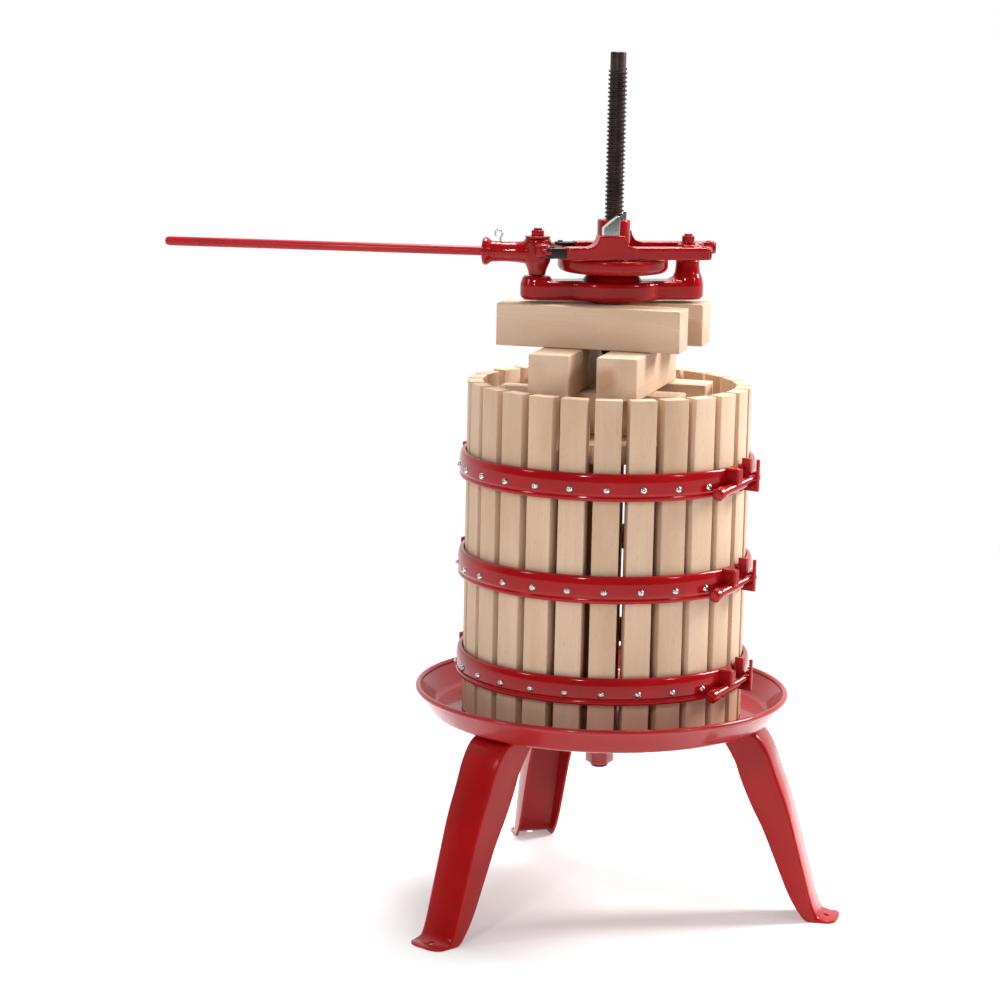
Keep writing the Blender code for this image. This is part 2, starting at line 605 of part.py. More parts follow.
def build_handle_clip(parts):
    """A bent wire clip: a straight leg down into the handle and an open loop on top."""
    loop_r, leg_top = 0.0042, 0.8050
    points = [(-CLIP_REACH, 0.0, BAR_Z + 0.0012), (-CLIP_REACH, 0.0, leg_top)]
    for k in range(11):
        angle = radians(-60 + 27 * k)
        along = -CLIP_REACH + loop_r * cos(angle) - 0.0021
        points.append((along, 0.0, leg_top + 0.0052 + loop_r * sin(angle)))
    curve = bpy.data.curves.new("handle_clip", "CURVE")
    curve.dimensions = "3D"
    curve.bevel_depth = CLIP_WIRE_R
    curve.bevel_resolution = 2
    curve.use_fill_caps = True
    spline = curve.splines.new("POLY")
    spline.points.add(len(points) - 1)
    for point, place_at in zip(spline.points, points):
        point.co = (*place_at, 1.0)
    wire = bpy.data.objects.new("handle_clip", curve)
    parts.objects.link(wire)
    return transform(bake(wire, smooth_angle=60), LEVER_MATRIX)


def build_rocker(parts):
    barrel = [(0.0, 0.8000), (0.0110, 0.8000), (0.0125, 0.7985), (0.0125, 0.7835), (0.0118, 0.7818),
              (0.0, 0.7818)]
    casting = eared_casting("rocker", barrel, parts)
    post_hole = cylinder("post_hole", BOLT_R + GAP, 0.74, 0.83, parts, segments=12)
    casting = combine(casting, "DIFFERENCE", [post_hole, *ear_bores(parts)])
    return transform(casting, ROCKER_MATRIX)


def build_arm(name, side, parts):
    """An arm between the two castings' ears, with a boss for its pawl, in the head's frame."""
    along, across = ear_offset(side)
    left, right = -POST_REACH + along, POST_REACH + along
    middle = left + POST_REACH - EAR_ALONG
    arm = plate(name, stadium((left, across), (right, across), ARM_HALF), *ARM_Z, parts)
    boss = box("boss", (middle - 0.0150, across - 0.0100, ARM_Z[0]),
               (middle + 0.0150, across + 0.0100, BOSS_TOP_Z), parts)
    arm = combine(arm, "UNION", [bevel(boss, 0.0015)])
    tall = (EAR_Z[0] - GAP, EAR_Z[1] + GAP)
    walls = sorted((across + side * (EAR_R + GAP), across - side * 0.0200))
    slots = [box("slot", (left - 0.0200, walls[0], tall[0]), (left + 0.0130, walls[1], tall[1]), parts),
             box("slot", (right - 0.0240, walls[0], tall[0]), (right + EAR_R + GAP, walls[1], tall[1]),
                 parts)]
    window = box("window", (middle - 0.0098, across - 0.0064, 0.78), (middle + 0.0098, across + 0.0064, 0.83),
                 parts)
    arm = combine(arm, "DIFFERENCE", [*slots, window])
    pins = [cylinder("pin", PIN_R, ARM_Z[0] + 0.0010, ARM_Z[1] + 0.0008, parts, at=(at, across), segments=12)
            for at in (left, right)]
    return transform(combine(arm, "UNION", pins), HEAD_MATRIX)


def build_pawl(name, side, parts):
    """A wedge that drops into the nut's pockets, slanted on top."""
    along, across = ear_offset(side)
    middle = along - EAR_ALONG
    foot, low, high = FLANGE_Z[1] + 0.0005, 0.8225, 0.8360
    outline = [(-0.0094, foot), (0.0094, foot), (0.0094, high), (0.0070, high), (-0.0094, low)]
    wedge = plate(name, outline, -0.0060, 0.0060, parts)
    wedge = transform(wedge, Matrix.Rotation(radians(90), 4, "X"))
    return transform(wedge, HEAD_MATRIX @ Matrix.Translation((middle, across, 0)))


def build_post_bolt(name, side, seat_z, cap_r, parts):
    """A bolt up through a post, with its washer and nut above the casting."""
    foot = BLOCK_TOP_Z + 0.0070
    profile = [(0.0, seat_z + 0.0120), (0.0040, seat_z + 0.0120), (BOLT_R, seat_z + 0.0110),
               (BOLT_R, seat_z + 0.0100), (0.0080, seat_z + 0.0092), (0.0084, seat_z + 0.0030),
               (cap_r, seat_z + 0.0024), (cap_r, seat_z + GAP), (BOLT_R, seat_z + GAP), (BOLT_R, foot),
               (0.0, foot)]
    bolt = lathe(name, profile, parts, steps=14)
    return transform(bolt, Matrix.Translation(head_point(side * POST_REACH, 0.0)))


# ---------------------------------------------------------------- the whole press
def main():
    empty_the_scene()
    parts = new_collection("basket_wine_press")
    press = bpy.data.objects.new("press", None)
    parts.objects.link(press)

    gloss_red = material("gloss_red", (0.400, 0.010, 0.016), 0.22)
    leg_red = material("leg_red", (0.330, 0.008, 0.012), 0.25)
    tray_red = material("tray_red", (0.520, 0.045, 0.045), 0.38)
    black_steel = material("black_steel", (0.035, 0.025, 0.026), 0.40, 0.8)
    beech = material("beech", (0.620, 0.440, 0.290), 0.60)
    zinc = material("zinc", (0.620, 0.650, 0.630), 0.35, 0.9)
    bar_red = material("bar_red", (0.420, 0.020, 0.025), 0.30)

    axis = (0.0, 0.0, 0.0)
    place(build_tray(parts), axis, tray_red, press)
    place(build_spindle(parts), axis, black_steel, press)
    for name, azimuth in zip(("leg_right", "leg_left", "leg_back"), LEG_AZIMUTHS):
        place(build_leg(name, azimuth, parts), polar(azimuth, FOOT_HOLE_AT), leg_red, press)

    for k in range(STAVE_COUNT):
        azimuth = k * STAVE_PITCH
        half = "rear" if (azimuth - SPLIT_AZIMUTH) % 360.0 < 180.0 else "front"
        if half == "rear":
            azimuth = REAR_FIRST_AZIMUTH + (k - FIRST_REAR_STAVE) * REAR_PITCH
        middle = polar(azimuth, BASKET_R - STAVE_THICK / 2, STAVE_FOOT_Z + STAVE_LENGTH / 2)
        place(build_stave(f"stave_{half}_{k:02d}", azimuth, parts), middle, beech, press)
    for level, line_z in zip(("top", "middle", "bottom"), HOOP_LINES):
        seat = (0.0, 0.0, line_z)
        place(build_front_hoop(f"hoop_front_{level}", line_z, parts), seat, gloss_red, press)
        place(build_rear_hoop(f"hoop_rear_{level}", line_z, parts), seat, gloss_red, press)
        place(build_draw_bolt(f"draw_bolt_{level}", line_z, parts), bolt_matrix(line_z).translation,
              gloss_red, press)

    near, far = (-0.0700, -0.0700 + BLOCK_WIDTH), (0.0170, 0.0170 + BLOCK_WIDTH)
    farthest = (0.0480, 0.0480 + BLOCK_WIDTH)
    shifted = (-0.1225, -0.1225 + BLOCK_LENGTH)
    centred = (-0.1130, -0.1130 + BLOCK_LENGTH)
    lowest = (-0.1130, -0.1130 + BLOCK_LENGTH)
    crosswise = (-0.1335, -0.1335 + BLOCK_LENGTH)
    left_edge, right_edge = -0.0660, 0.0625
    beams = [
        build_block("block_top_front", 0, shifted, near, parts),
        build_block("block_top_back", 0, centred, far, parts),
        build_block("block_middle_left", 1, crosswise, (left_edge, left_edge + BLOCK_WIDTH), parts, True),
        build_block("block_middle_right", 1, crosswise, (right_edge - BLOCK_WIDTH, right_edge), parts,
                    True),
        build_block("block_bottom_front", 2, shifted, near, parts),
        build_block("block_bottom_back", 2, lowest, farthest, parts),
        build_board("board_left", -1, parts),
        build_board("board_right", 1, parts),
    ]
    for beam in beams:
        place(beam, axis, beech, press)

    lever_axis = head_point(-POST_REACH, 0.0, BAR_Z)
    rocker_axis = head_point(POST_REACH, 0.0, BAR_Z)
    place(build_yoke(parts), axis, gloss_red, press)
    place(build_ratchet_nut(parts), axis, gloss_red, press)
    place(build_lever(parts), lever_axis, gloss_red, press)
    place(build_handle_bar(parts), lever_axis, bar_red, press)
    place(build_handle_clip(parts), lever_axis, zinc, press)
    place(build_rocker(parts), rocker_axis, gloss_red, press)
    place(build_post_bolt("pivot_bolt_lever", -1, 0.8060, 0.0150, parts), lever_axis, gloss_red, press)
    place(build_post_bolt("pivot_bolt_rocker", 1, 0.8000, 0.0090, parts), rocker_axis, gloss_red, press)
    for name, side in (("front", -1), ("back", 1)):
        along, across = ear_offset(side)
        ear_axis = head_point(-POST_REACH + along, across, BAR_Z)
        pawl_axis = head_point(along - EAR_ALONG, across, FLANGE_Z[1])
        place(build_arm(f"arm_{name}", side, parts), ear_axis, gloss_red, press)
        place(build_pawl(f"pawl_{name}", side, parts), pawl_axis, zinc, press)

    bpy.context.view_layer.update()
    corners = [obj.matrix_world @ vertex.co for obj in parts.objects if obj.type == "MESH"
               for vertex in obj.data.vertices]
    for index in (0, 1):
        values = [corner[index] for corner in corners]
        press.location[index] = -(min(values) + max(values)) / 2
    bpy.context.view_layer.update()


main()
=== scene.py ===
"""Looks of a basket wine press.

The press stands on three pressed-sheet legs under a round juice tray.  A basket of beech staves in two
hooped halves stands on the tray, and a ratchet head screws down a threaded spindle on to a stack of beech
blocks.  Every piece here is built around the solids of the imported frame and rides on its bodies.
"""

from __future__ import annotations
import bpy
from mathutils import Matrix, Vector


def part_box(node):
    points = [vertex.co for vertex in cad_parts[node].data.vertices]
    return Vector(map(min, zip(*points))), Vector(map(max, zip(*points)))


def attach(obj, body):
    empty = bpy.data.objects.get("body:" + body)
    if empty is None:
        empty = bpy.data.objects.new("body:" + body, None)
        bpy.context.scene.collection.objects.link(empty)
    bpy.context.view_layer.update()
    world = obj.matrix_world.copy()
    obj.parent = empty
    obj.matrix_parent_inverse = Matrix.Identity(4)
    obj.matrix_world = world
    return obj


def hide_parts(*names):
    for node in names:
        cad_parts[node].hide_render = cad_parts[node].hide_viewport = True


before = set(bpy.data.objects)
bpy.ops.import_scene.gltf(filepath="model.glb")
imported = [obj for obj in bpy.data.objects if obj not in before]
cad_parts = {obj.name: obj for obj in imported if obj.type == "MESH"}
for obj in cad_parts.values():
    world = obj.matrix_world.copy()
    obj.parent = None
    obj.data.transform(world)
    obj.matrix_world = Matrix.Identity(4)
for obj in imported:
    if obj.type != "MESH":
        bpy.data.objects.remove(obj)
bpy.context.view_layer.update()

import logging
from dataclasses import dataclass
from enum import Enum
from math import acos, atan2, cos, pi, radians, sin, sqrt, tau
from typing import Sequence

import bmesh
import bpy
from mathutils import Matrix, Vector

LOG = logging.getLogger("wine_press")
Point2 = tuple[float, float]
Node = bpy.types.Node
Socket = bpy.types.NodeSocket


# ================================================================ places shared by every sub-assembly
def middle_of(node: str) -> Vector:
    """The middle of a frame node's box."""
    low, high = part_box(node)
    return (Vector(low) + Vector(high)) / 2


SPINDLE_AXIS = Vector((*middle_of("spindle").xy, 0.0))
TO_WORLD = Matrix.Translation(SPINDLE_AXIS)
CLEARANCE = 0.0004
SHARP_EDGE = 35.0               # angles in degrees above which an edge stays sharp or is bevelled
SOFT_EDGE = 60.0
BEVEL_ABOVE = 40.0
MERGE_DISTANCE = 0.00001
FINE_GRAIN = 0.0006             # cells of the castings' meshes
CASTING_GRAIN = 0.0008
COARSE_GRAIN = 0.0010
UPENDED = Matrix.Rotation(radians(90), 4, "X")      # stands a flat outline up, with its front to -Y


def polar(azimuth: float, radius: float, z: float = 0.0) -> Vector:
    """A point about the spindle's axis, with its azimuth in degrees from the front towards the right."""
    turn = radians(azimuth)
    return Vector((radius * sin(turn), -radius * cos(turn), z))


def turned(degrees: float) -> Matrix:
    """A turn about the upright axis."""
    return Matrix.Rotation(radians(degrees), 4, "Z")


def shift(x: float = 0.0, y: float = 0.0, z: float = 0.0) -> Matrix:
    """A move along the axes."""
    return Matrix.Translation((x, y, z))


# ================================================================ mesh tools
def placed(name: str, data: bpy.types.ID) -> bpy.types.Object:
    """Make an object of a mesh, a curve, a light or a camera, and link it to the scene."""
    obj = bpy.data.objects.new(name, data)
    bpy.context.scene.collection.objects.link(obj)
    return obj


def shaded(mesh: bpy.types.Mesh, sharp: float) -> bpy.types.Mesh:
    """Shade a mesh smooth, with every edge above an angle in degrees left sharp."""
    mesh.shade_smooth()
    mesh.set_sharp_from_angle(angle=radians(sharp))
    return mesh


def object_from(bm: bmesh.types.BMesh, name: str, sharp: float = SHARP_EDGE) -> bpy.types.Object:
    """Make an object of a bmesh.

    Args:
        bm: The mesh under construction, which is freed.
        name: The name of the object and of its mesh.
        sharp: The angle in degrees above which an edge stays sharp.

    Returns:
        The new object, linked to the scene.
    """
    bmesh.ops.recalc_face_normals(bm, faces=bm.faces)
    mesh = bpy.data.meshes.new(name)
    bm.to_mesh(mesh)
    bm.free()
    return placed(name, shaded(mesh, sharp))


def settle(obj: bpy.types.Object, sharp: float = SHARP_EDGE) -> bpy.types.Object:
    """Turn an object and its modifiers into a plain mesh at the origin.

    Args:
        obj: A mesh or curve object, which is removed.
        sharp: The angle in degrees above which an edge stays sharp.

    Returns:
        The plain object, under the same name.
    """
    bpy.context.view_layer.update()
    evaluated = obj.evaluated_get(bpy.context.evaluated_depsgraph_get())
    mesh = bpy.data.meshes.new_from_object(evaluated)
    mesh.transform(obj.matrix_world)
    name = obj.name
    bpy.data.objects.remove(obj, do_unlink=True)
    return placed(name, shaded(mesh, sharp))


def moved(obj: bpy.types.Object, matrix: Matrix) -> bpy.types.Object:
    """Move an object's mesh, and leave the object at the origin."""
    obj.data.transform(matrix)
    return obj


def joined(name: str, pieces: Sequence[bpy.types.Object]) -> bpy.types.Object:
    """Gather the meshes of several objects into one object.

    Args:
        name: The new object's name.
        pieces: The objects, which are removed.

    Returns:
        The object with all their meshes, which stay loose from each other.
    """
    bm = bmesh.new()
    for piece in pieces:
        bm.from_mesh(piece.data)
        bpy.data.objects.remove(piece, do_unlink=True)
    mesh = bpy.data.meshes.new(name)
    bm.to_mesh(mesh)
    bm.free()
    return placed(name, shaded(mesh, SHARP_EDGE))


def combined(obj: bpy.types.Object, others: Sequence[bpy.types.Object], operation: str,
             sharp: float = SHARP_EDGE) -> bpy.types.Object:
    """Add closed solids to an object, or take them away from it.

    Args:
        obj: The object, which is replaced.
        others: The closed solids, which are removed.
        operation: "UNION" or "DIFFERENCE".
        sharp: The angle in degrees above which an edge stays sharp.

    Returns:
        The plain result.
    """
    for other in others:
        modifier = obj.modifiers.new(operation.lower(), "BOOLEAN")
        modifier.operation, modifier.solver, modifier.object = operation, "EXACT", other
    plain = settle(obj, sharp)
    for other in others:
        bpy.data.objects.remove(other, do_unlink=True)
    return plain


def cut(obj: bpy.types.Object, cutters: Sequence[bpy.types.Object],
        sharp: float = SHARP_EDGE) -> bpy.types.Object:
    """Cut closed solids out of an object, and remove them."""
    return combined(obj, cutters, "DIFFERENCE", sharp)


def rounded(points: Sequence[Point2], radius: float | Sequence[float], steps: int = 4,
            closed: bool = False) -> list[Point2]:
    """Replace the corners of a path by short curves.

    Args:
        points: The corners, in order.
        radius: How far along each side a corner's curve starts, one value or one for each point.
        steps: The number of pieces of each curve.
        closed: Whether the last point joins the first.

    Returns:
        The points of the rounded path.
    """
    count = len(points)
    reach = [radius] * count if isinstance(radius, (int, float)) else list(radius)
    path: list[Point2] = []
    for k, corner in enumerate(points):
        at = Vector(corner)
        if reach[k] <= 0.0 or (not closed and k in (0, count - 1)):
            path.append((at.x, at.y))
            continue
        before, after = Vector(points[k - 1]) - at, Vector(points[(k + 1) % count]) - at
        start = at + before.normalized() * min(reach[k], before.length * 0.49)
        end = at + after.normalized() * min(reach[k], after.length * 0.49)
        for step in range(steps + 1):
            t = step / steps
            spot = start * (1 - t) ** 2 + at * 2 * t * (1 - t) + end * t ** 2
            path.append((spot.x, spot.y))
    return path


def revolved(name: str, profile: Sequence[Point2], steps: int = 96, closed: bool = False,
             sharp: float = SHARP_EDGE) -> bpy.types.Object:
    """Turn a profile of (radius, height) points about the upright axis.

    Args:
        name: The object's name.
        profile: The profile, from one end to the other, which meets the axis at radius 0 or is closed.
        steps: The number of faces around.
        closed: Whether the last point joins the first.
        sharp: The angle in degrees above which an edge stays sharp.

    Returns:
        The turned object.
    """
    bm = bmesh.new()
    rings = []
    for radius, z in profile:
        if radius < 1e-6:
            rings.append([bm.verts.new((0.0, 0.0, z))])
        else:
            rings.append([bm.verts.new((radius * cos(tau * k / steps), radius * sin(tau * k / steps), z))
                          for k in range(steps)])
    pairs = list(zip(rings, rings[1:])) + ([(rings[-1], rings[0])] if closed else [])
    for ring, following in pairs:
        for k in range(steps):
            corners = [ring[k % len(ring)], ring[(k + 1) % len(ring)],
                       following[(k + 1) % len(following)], following[k % len(following)]]
            bm.faces.new(list(dict.fromkeys(corners)))
    return object_from(bm, name, sharp)


def lofted(name: str, rings: Sequence[Sequence[Vector]], sharp: float) -> bpy.types.Object:
    """Join closed rings of points one after the other, with a cap at both ends.

    Args:
        name: The object's name.
        rings: The rings, each with the same number of points.
        sharp: The angle in degrees above which an edge stays sharp.

    Returns:
        The closed tube through the rings.
    """
    bm = bmesh.new()
    rows = [[bm.verts.new(point) for point in ring] for ring in rings]
    size = len(rows[0])
    for row, following in zip(rows, rows[1:]):
        for k in range(size):
            bm.faces.new((row[k], row[(k + 1) % size], following[(k + 1) % size], following[k]))
    bm.faces.new(rows[0])
    bm.faces.new(rows[-1])
    bmesh.ops.triangulate(bm, faces=[face for face in bm.faces if len(face.verts) > 4])
    return object_from(bm, name, sharp)


def prism(name: str, outline: Sequence[Point2], low: float, high: float, edge: float = 0.0,
          segments: int = 3) -> bpy.types.Object:
    """Raise a flat outline between two heights, with its edges rounded over.

    Args:
        name: The object's name.
        outline: The corners of the outline, in order.
        low: The height of its foot.
        high: The height of its top.
        edge: The width of the rounding, or 0 for sharp edges.
        segments: The number of faces across the rounding.

    Returns:
        The raised outline.
    """
    bm = bmesh.new()
    floor = [bm.verts.new((x, y, low)) for x, y in outline]
    roof = [bm.verts.new((x, y, high)) for x, y in outline]
    size = len(outline)
    for k in range(size):
        bm.faces.new((floor[k], floor[(k + 1) % size], roof[(k + 1) % size], roof[k]))
    bm.faces.new(floor)
    bm.faces.new(roof)
    obj = object_from(bm, name)
    if edge > 0.0:
        bevel = obj.modifiers.new("edges", "BEVEL")
        bevel.width = edge
        bevel.segments = segments
        bevel.limit_method = "ANGLE"
        bevel.angle_limit = radians(BEVEL_ABOVE)
        obj = settle(obj)
    return obj


def rounded_box(name: str, low: Sequence[float], high: Sequence[float], edge: float = 0.0,
                segments: int = 3) -> bpy.types.Object:
    """A box between two corners with rounded edges."""
    outline = [(low[0], low[1]), (high[0], low[1]), (high[0], high[1]), (low[0], high[1])]
    return prism(name, outline, low[2], high[2], edge, segments)


def arc(centre: Point2, radius: float, start: float, end: float, steps: int) -> list[Point2]:
    """Points of an arc between two angles in degrees from +X."""
    angles = [radians(start + (end - start) * k / steps) for k in range(steps + 1)]
    return [(centre[0] + radius * cos(a), centre[1] + radius * sin(a)) for a in angles]


def stadium(start: Point2, end: Point2, half: float, steps: int = 20) -> list[Point2]:
    """The outline of a flat bar with round ends."""
    heading = atan2(end[1] - start[1], end[0] - start[0]) * 180 / pi
    return (arc(end, half, heading - 90, heading + 90, steps)
            + arc(start, half, heading + 90, heading + 270, steps))


def hexagon(radius: float, turn: float = 0.0) -> list[Point2]:
    """The corners of a hexagon, with the first one turned by an angle in radians from +X."""
    return [(radius * cos(k * pi / 3 + turn), radius * sin(k * pi / 3 + turn)) for k in range(6)]


def rod(name: str, radius: float, low: float, high: float, at: Point2 = (0.0, 0.0), edge: float = 0.0,
        steps: int = 48) -> bpy.types.Object:
    """An upright round bar with softened ends."""
    profile = rounded([(0.0, high), (radius, high), (radius, low), (0.0, low)], edge, 3)
    return moved(revolved(name, profile, steps), shift(*at))


def wire(name: str, points: Sequence[Sequence[float]], radius: float) -> bpy.types.Object:
    """A round wire with closed ends.

    Args:
        name: The wire's name.
        points: The points of its path.
        radius: Half its thickness.

    Returns:
        The wire as one closed mesh.
    """
    curve = bpy.data.curves.new(name, "CURVE")
    curve.dimensions = "3D"
    curve.bevel_depth = radius
    curve.bevel_resolution = 4
    curve.use_fill_caps = True
    spline = curve.splines.new("POLY")
    spline.points.add(len(points) - 1)
    for control, place in zip(spline.points, points):
        control.co = (*place, 1.0)
    plain = settle(placed(name, curve), SOFT_EDGE)
    bm = bmesh.new()
    bm.from_mesh(plain.data)
    bmesh.ops.remove_doubles(bm, verts=bm.verts, dist=MERGE_DISTANCE)
    bm.to_mesh(plain.data)
    bm.free()
    return plain


def cast(name: str, solids: Sequence[bpy.types.Object], grain: float, softness: int) -> bpy.types.Object:
    """Melt overlapping solids into one casting with filleted joints.

    Args:
        name: The casting's name.
        solids: The solids, which are removed.
        grain: The size of the mesh's cells in metres.
        softness: How many smoothing passes round the edges and fillets.

    Returns:
        The casting as one closed mesh.
    """
    casting = joined(name, solids)
    remesh = casting.modifiers.new("melt", "REMESH")
    remesh.mode = "VOXEL"
    remesh.voxel_size = grain
    smooth = casting.modifiers.new("soften", "SMOOTH")
    smooth.factor = 0.5
    smooth.iterations = softness
    return settle(casting, SOFT_EDGE)


# ================================================================ nodes
class Graph:
    """A tree of nodes under construction."""

    def __init__(self, tree: bpy.types.NodeTree) -> None:
        """Keep the tree's nodes and links."""
        self.nodes = tree.nodes
        self.links = tree.links

    def node(self, kind: str, **settings: object) -> Node:
        """Add a node.

        Args:
            kind: The node's type.
            settings: Its properties.

        Returns:
            The node.
        """
        made = self.nodes.new(kind)
        for name, value in settings.items():
            setattr(made, name, value)
        return made

    def link(self, source: Socket, target: Socket) -> None:
        """Join two sockets."""
        self.links.new(source, target)

    def feed(self, target: Socket, value: Socket | float | Sequence[float]) -> None:
        """Give an input another socket's value, or a fixed one."""
        if isinstance(value, bpy.types.NodeSocket):
            self.link(value, target)
        else:
            target.default_value = value

    def math(self, operation: str, *values: Socket | float) -> Socket:
        """Add a Math node.

        Args:
            operation: What it does.
            values: The sockets or numbers that it works on.

        Returns:
            The socket of its result.
        """
        made = self.node("ShaderNodeMath", operation=operation)
        for socket, value in zip(made.inputs, values):
            self.feed(socket, value)
        return made.outputs[0]

    def length(self, vector: Socket) -> Socket:
        """The length of a vector."""
        made = self.node("ShaderNodeVectorMath", operation="LENGTH")
        self.link(vector, made.inputs[0])
        return made.outputs["Value"]

    def span(self, factor: Socket, low: Socket | float, high: Socket | float, start: float = 0.0,
             end: float = 1.0) -> Socket:
        """Stretch a value from start-to-end onto low-to-high, and hold it between them.

        Args:
            factor: The value.
            low: The result at the start.
            high: The result at the end.
            start: The value that gives low.
            end: The value that gives high.

        Returns:
            The socket of the result.
        """
        made = self.node("ShaderNodeMapRange")
        for name, value in (("From Min", start), ("From Max", end), ("To Min", low), ("To Max", high)):
            self.feed(made.inputs[name], value)
        self.link(factor, made.inputs["Value"])
        return made.outputs["Result"]


class Tree(Graph):
    """A Geometry Nodes tree under construction, with named inputs."""

    def __init__(self, name: str) -> None:
        """Start an empty tree with a geometry input and output."""
        self.group = bpy.data.node_groups.new(name, "GeometryNodeTree")
        super().__init__(self.group)
        self.group.interface.new_socket("Geometry", in_out="INPUT", socket_type="NodeSocketGeometry")
        self.group.interface.new_socket("Geometry", in_out="OUTPUT", socket_type="NodeSocketGeometry")
        self.identifiers: dict[str, str] = {}
        self.entry = self.node("NodeGroupInput")
        self.exit = self.node("NodeGroupOutput")

    def add_inputs(self, **kinds: str) -> list[Socket]:
        """Add named inputs.

        Args:
            kinds: The kind of each input's socket, under its name with underscores for spaces.

        Returns:
            The sockets that give the inputs' values, in the same order.
        """
        for name, kind in kinds.items():
            item = self.group.interface.new_socket(name.replace("_", " "), in_out="INPUT",
                                                   socket_type=f"NodeSocket{kind}")
            self.identifiers[item.name] = item.identifier
        return [self.entry.outputs[name.replace("_", " ")] for name in kinds]

    def end(self, geometry: Socket, finish: Socket) -> None:
        """End the tree with real geometry that wears its finish."""
        real = self.node("GeometryNodeRealizeInstances")
        dressed = self.node("GeometryNodeSetMaterial")
        self.link(geometry, real.inputs[0])
        self.link(real.outputs[0], dressed.inputs["Geometry"])
        self.link(finish, dressed.inputs["Material"])
        self.link(dressed.outputs[0], self.exit.inputs[0])

    def run(self, name: str, values: dict[str, object]) -> bpy.types.Object:
        """Evaluate the tree with the given inputs, and keep the result as a plain mesh.

        Args:
            name: The name of the finished object.
            values: The value of each named input.

        Returns:
            The finished object, without its modifier.
        """
        holder = placed(name, bpy.data.meshes.new(name))
        modifier = holder.modifiers.new("nodes", "NODES")
        modifier.node_group = self.group
        for label, value in values.items():
            modifier[self.identifiers[label]] = value
        bpy.context.view_layer.update()
        evaluated = holder.evaluated_get(bpy.context.evaluated_depsgraph_get())
        mesh = bpy.data.meshes.new_from_object(evaluated, preserve_all_data_layers=True,
                                               depsgraph=bpy.context.evaluated_depsgraph_get())
        bpy.data.objects.remove(holder, do_unlink=True)
        return placed(name, mesh)


def ring_tree() -> Tree:
    """Copies of a piece about the upright axis, each with its own value of the attribute `tone`.

    Returns:
        A tree with the inputs Piece, Count, First azimuth, Pitch, Seed and Finish.
    """
    tree = Tree("ring_of_pieces")
    piece, count, first, pitch, seed, finish = tree.add_inputs(
        Piece="Object", Count="Int", First_azimuth="Float", Pitch="Float", Seed="Int", Finish="Material")
    points = tree.node("GeometryNodePoints")
    tree.link(count, points.inputs["Count"])
    source = tree.node("GeometryNodeObjectInfo")
    tree.link(piece, source.inputs["Object"])
    index = tree.node("GeometryNodeInputIndex").outputs[0]
    angle = tree.math("ADD", first, tree.math("MULTIPLY", index, pitch))
    euler = tree.node("ShaderNodeCombineXYZ")
    tree.link(angle, euler.inputs["Z"])
    spread = tree.node("GeometryNodeInstanceOnPoints")
    tree.link(points.outputs[0], spread.inputs["Points"])
    tree.link(source.outputs["Geometry"], spread.inputs["Instance"])
    tree.link(euler.outputs[0], spread.inputs["Rotation"])
    chance = tree.node("FunctionNodeRandomValue", data_type="FLOAT")
    tree.link(seed, chance.inputs["Seed"])
    tone = tree.node("GeometryNodeStoreNamedAttribute", data_type="FLOAT", domain="INSTANCE")
    tone.inputs["Name"].default_value = "tone"
    tree.link(spread.outputs[0], tone.inputs["Geometry"])
    value = next(s for s in chance.outputs if s.type == "VALUE" and s.enabled)
    tree.link(value, next(s for s in tone.inputs if s.name == "Value" and s.enabled))
    tree.end(tone.outputs[0], finish)
    return tree


def thread_tree() -> Tree:
    """A screw thread: a trapezoid swept along a helix.

    Returns:
        A tree with the inputs Radius, Pitch, Turns, Depth, Bottom and Finish.
    """
    tree = Tree("screw_thread")
    radius, pitch, turns, depth, bottom, finish = tree.add_inputs(
        Radius="Float", Pitch="Float", Turns="Float", Depth="Float", Bottom="Float", Finish="Material")
    helix = tree.node("GeometryNodeCurveSpiral")
    helix.inputs["Resolution"].default_value = 28
    tree.link(turns, helix.inputs["Rotations"])
    tree.link(radius, helix.inputs["Start Radius"])
    tree.link(radius, helix.inputs["End Radius"])
    tree.link(tree.math("MULTIPLY", turns, pitch), helix.inputs["Height"])
    upright = tree.node("GeometryNodeSetCurveNormal", mode="Z_UP")
    tree.link(helix.outputs[0], upright.inputs["Curve"])
    ridge = tree.node("GeometryNodeCurvePrimitiveQuadrilateral", mode="TRAPEZOID")
    ridge.inputs["Offset"].default_value = 0.0
    tree.link(tree.math("MULTIPLY", pitch, 0.86), ridge.inputs["Bottom Width"])
    tree.link(tree.math("MULTIPLY", pitch, 0.30), ridge.inputs["Top Width"])
    tree.link(tree.math("MULTIPLY", depth, 2.0), ridge.inputs["Height"])
    outward = tree.node("GeometryNodeTransform")
    outward.inputs["Rotation"].default_value = (0.0, 0.0, pi / 2)
    tree.link(ridge.outputs[0], outward.inputs["Geometry"])
    sweep = tree.node("GeometryNodeCurveToMesh")
    sweep.inputs["Fill Caps"].default_value = True
    tree.link(upright.outputs[0], sweep.inputs["Curve"])
    tree.link(outward.outputs[0], sweep.inputs["Profile Curve"])
    lift = tree.node("ShaderNodeCombineXYZ")
    tree.link(bottom, lift.inputs["Z"])
    place = tree.node("GeometryNodeTransform")
    tree.link(sweep.outputs[0], place.inputs["Geometry"])
    tree.link(lift.outputs[0], place.inputs["Translation"])
    tree.end(place.outputs[0], finish)
    return tree


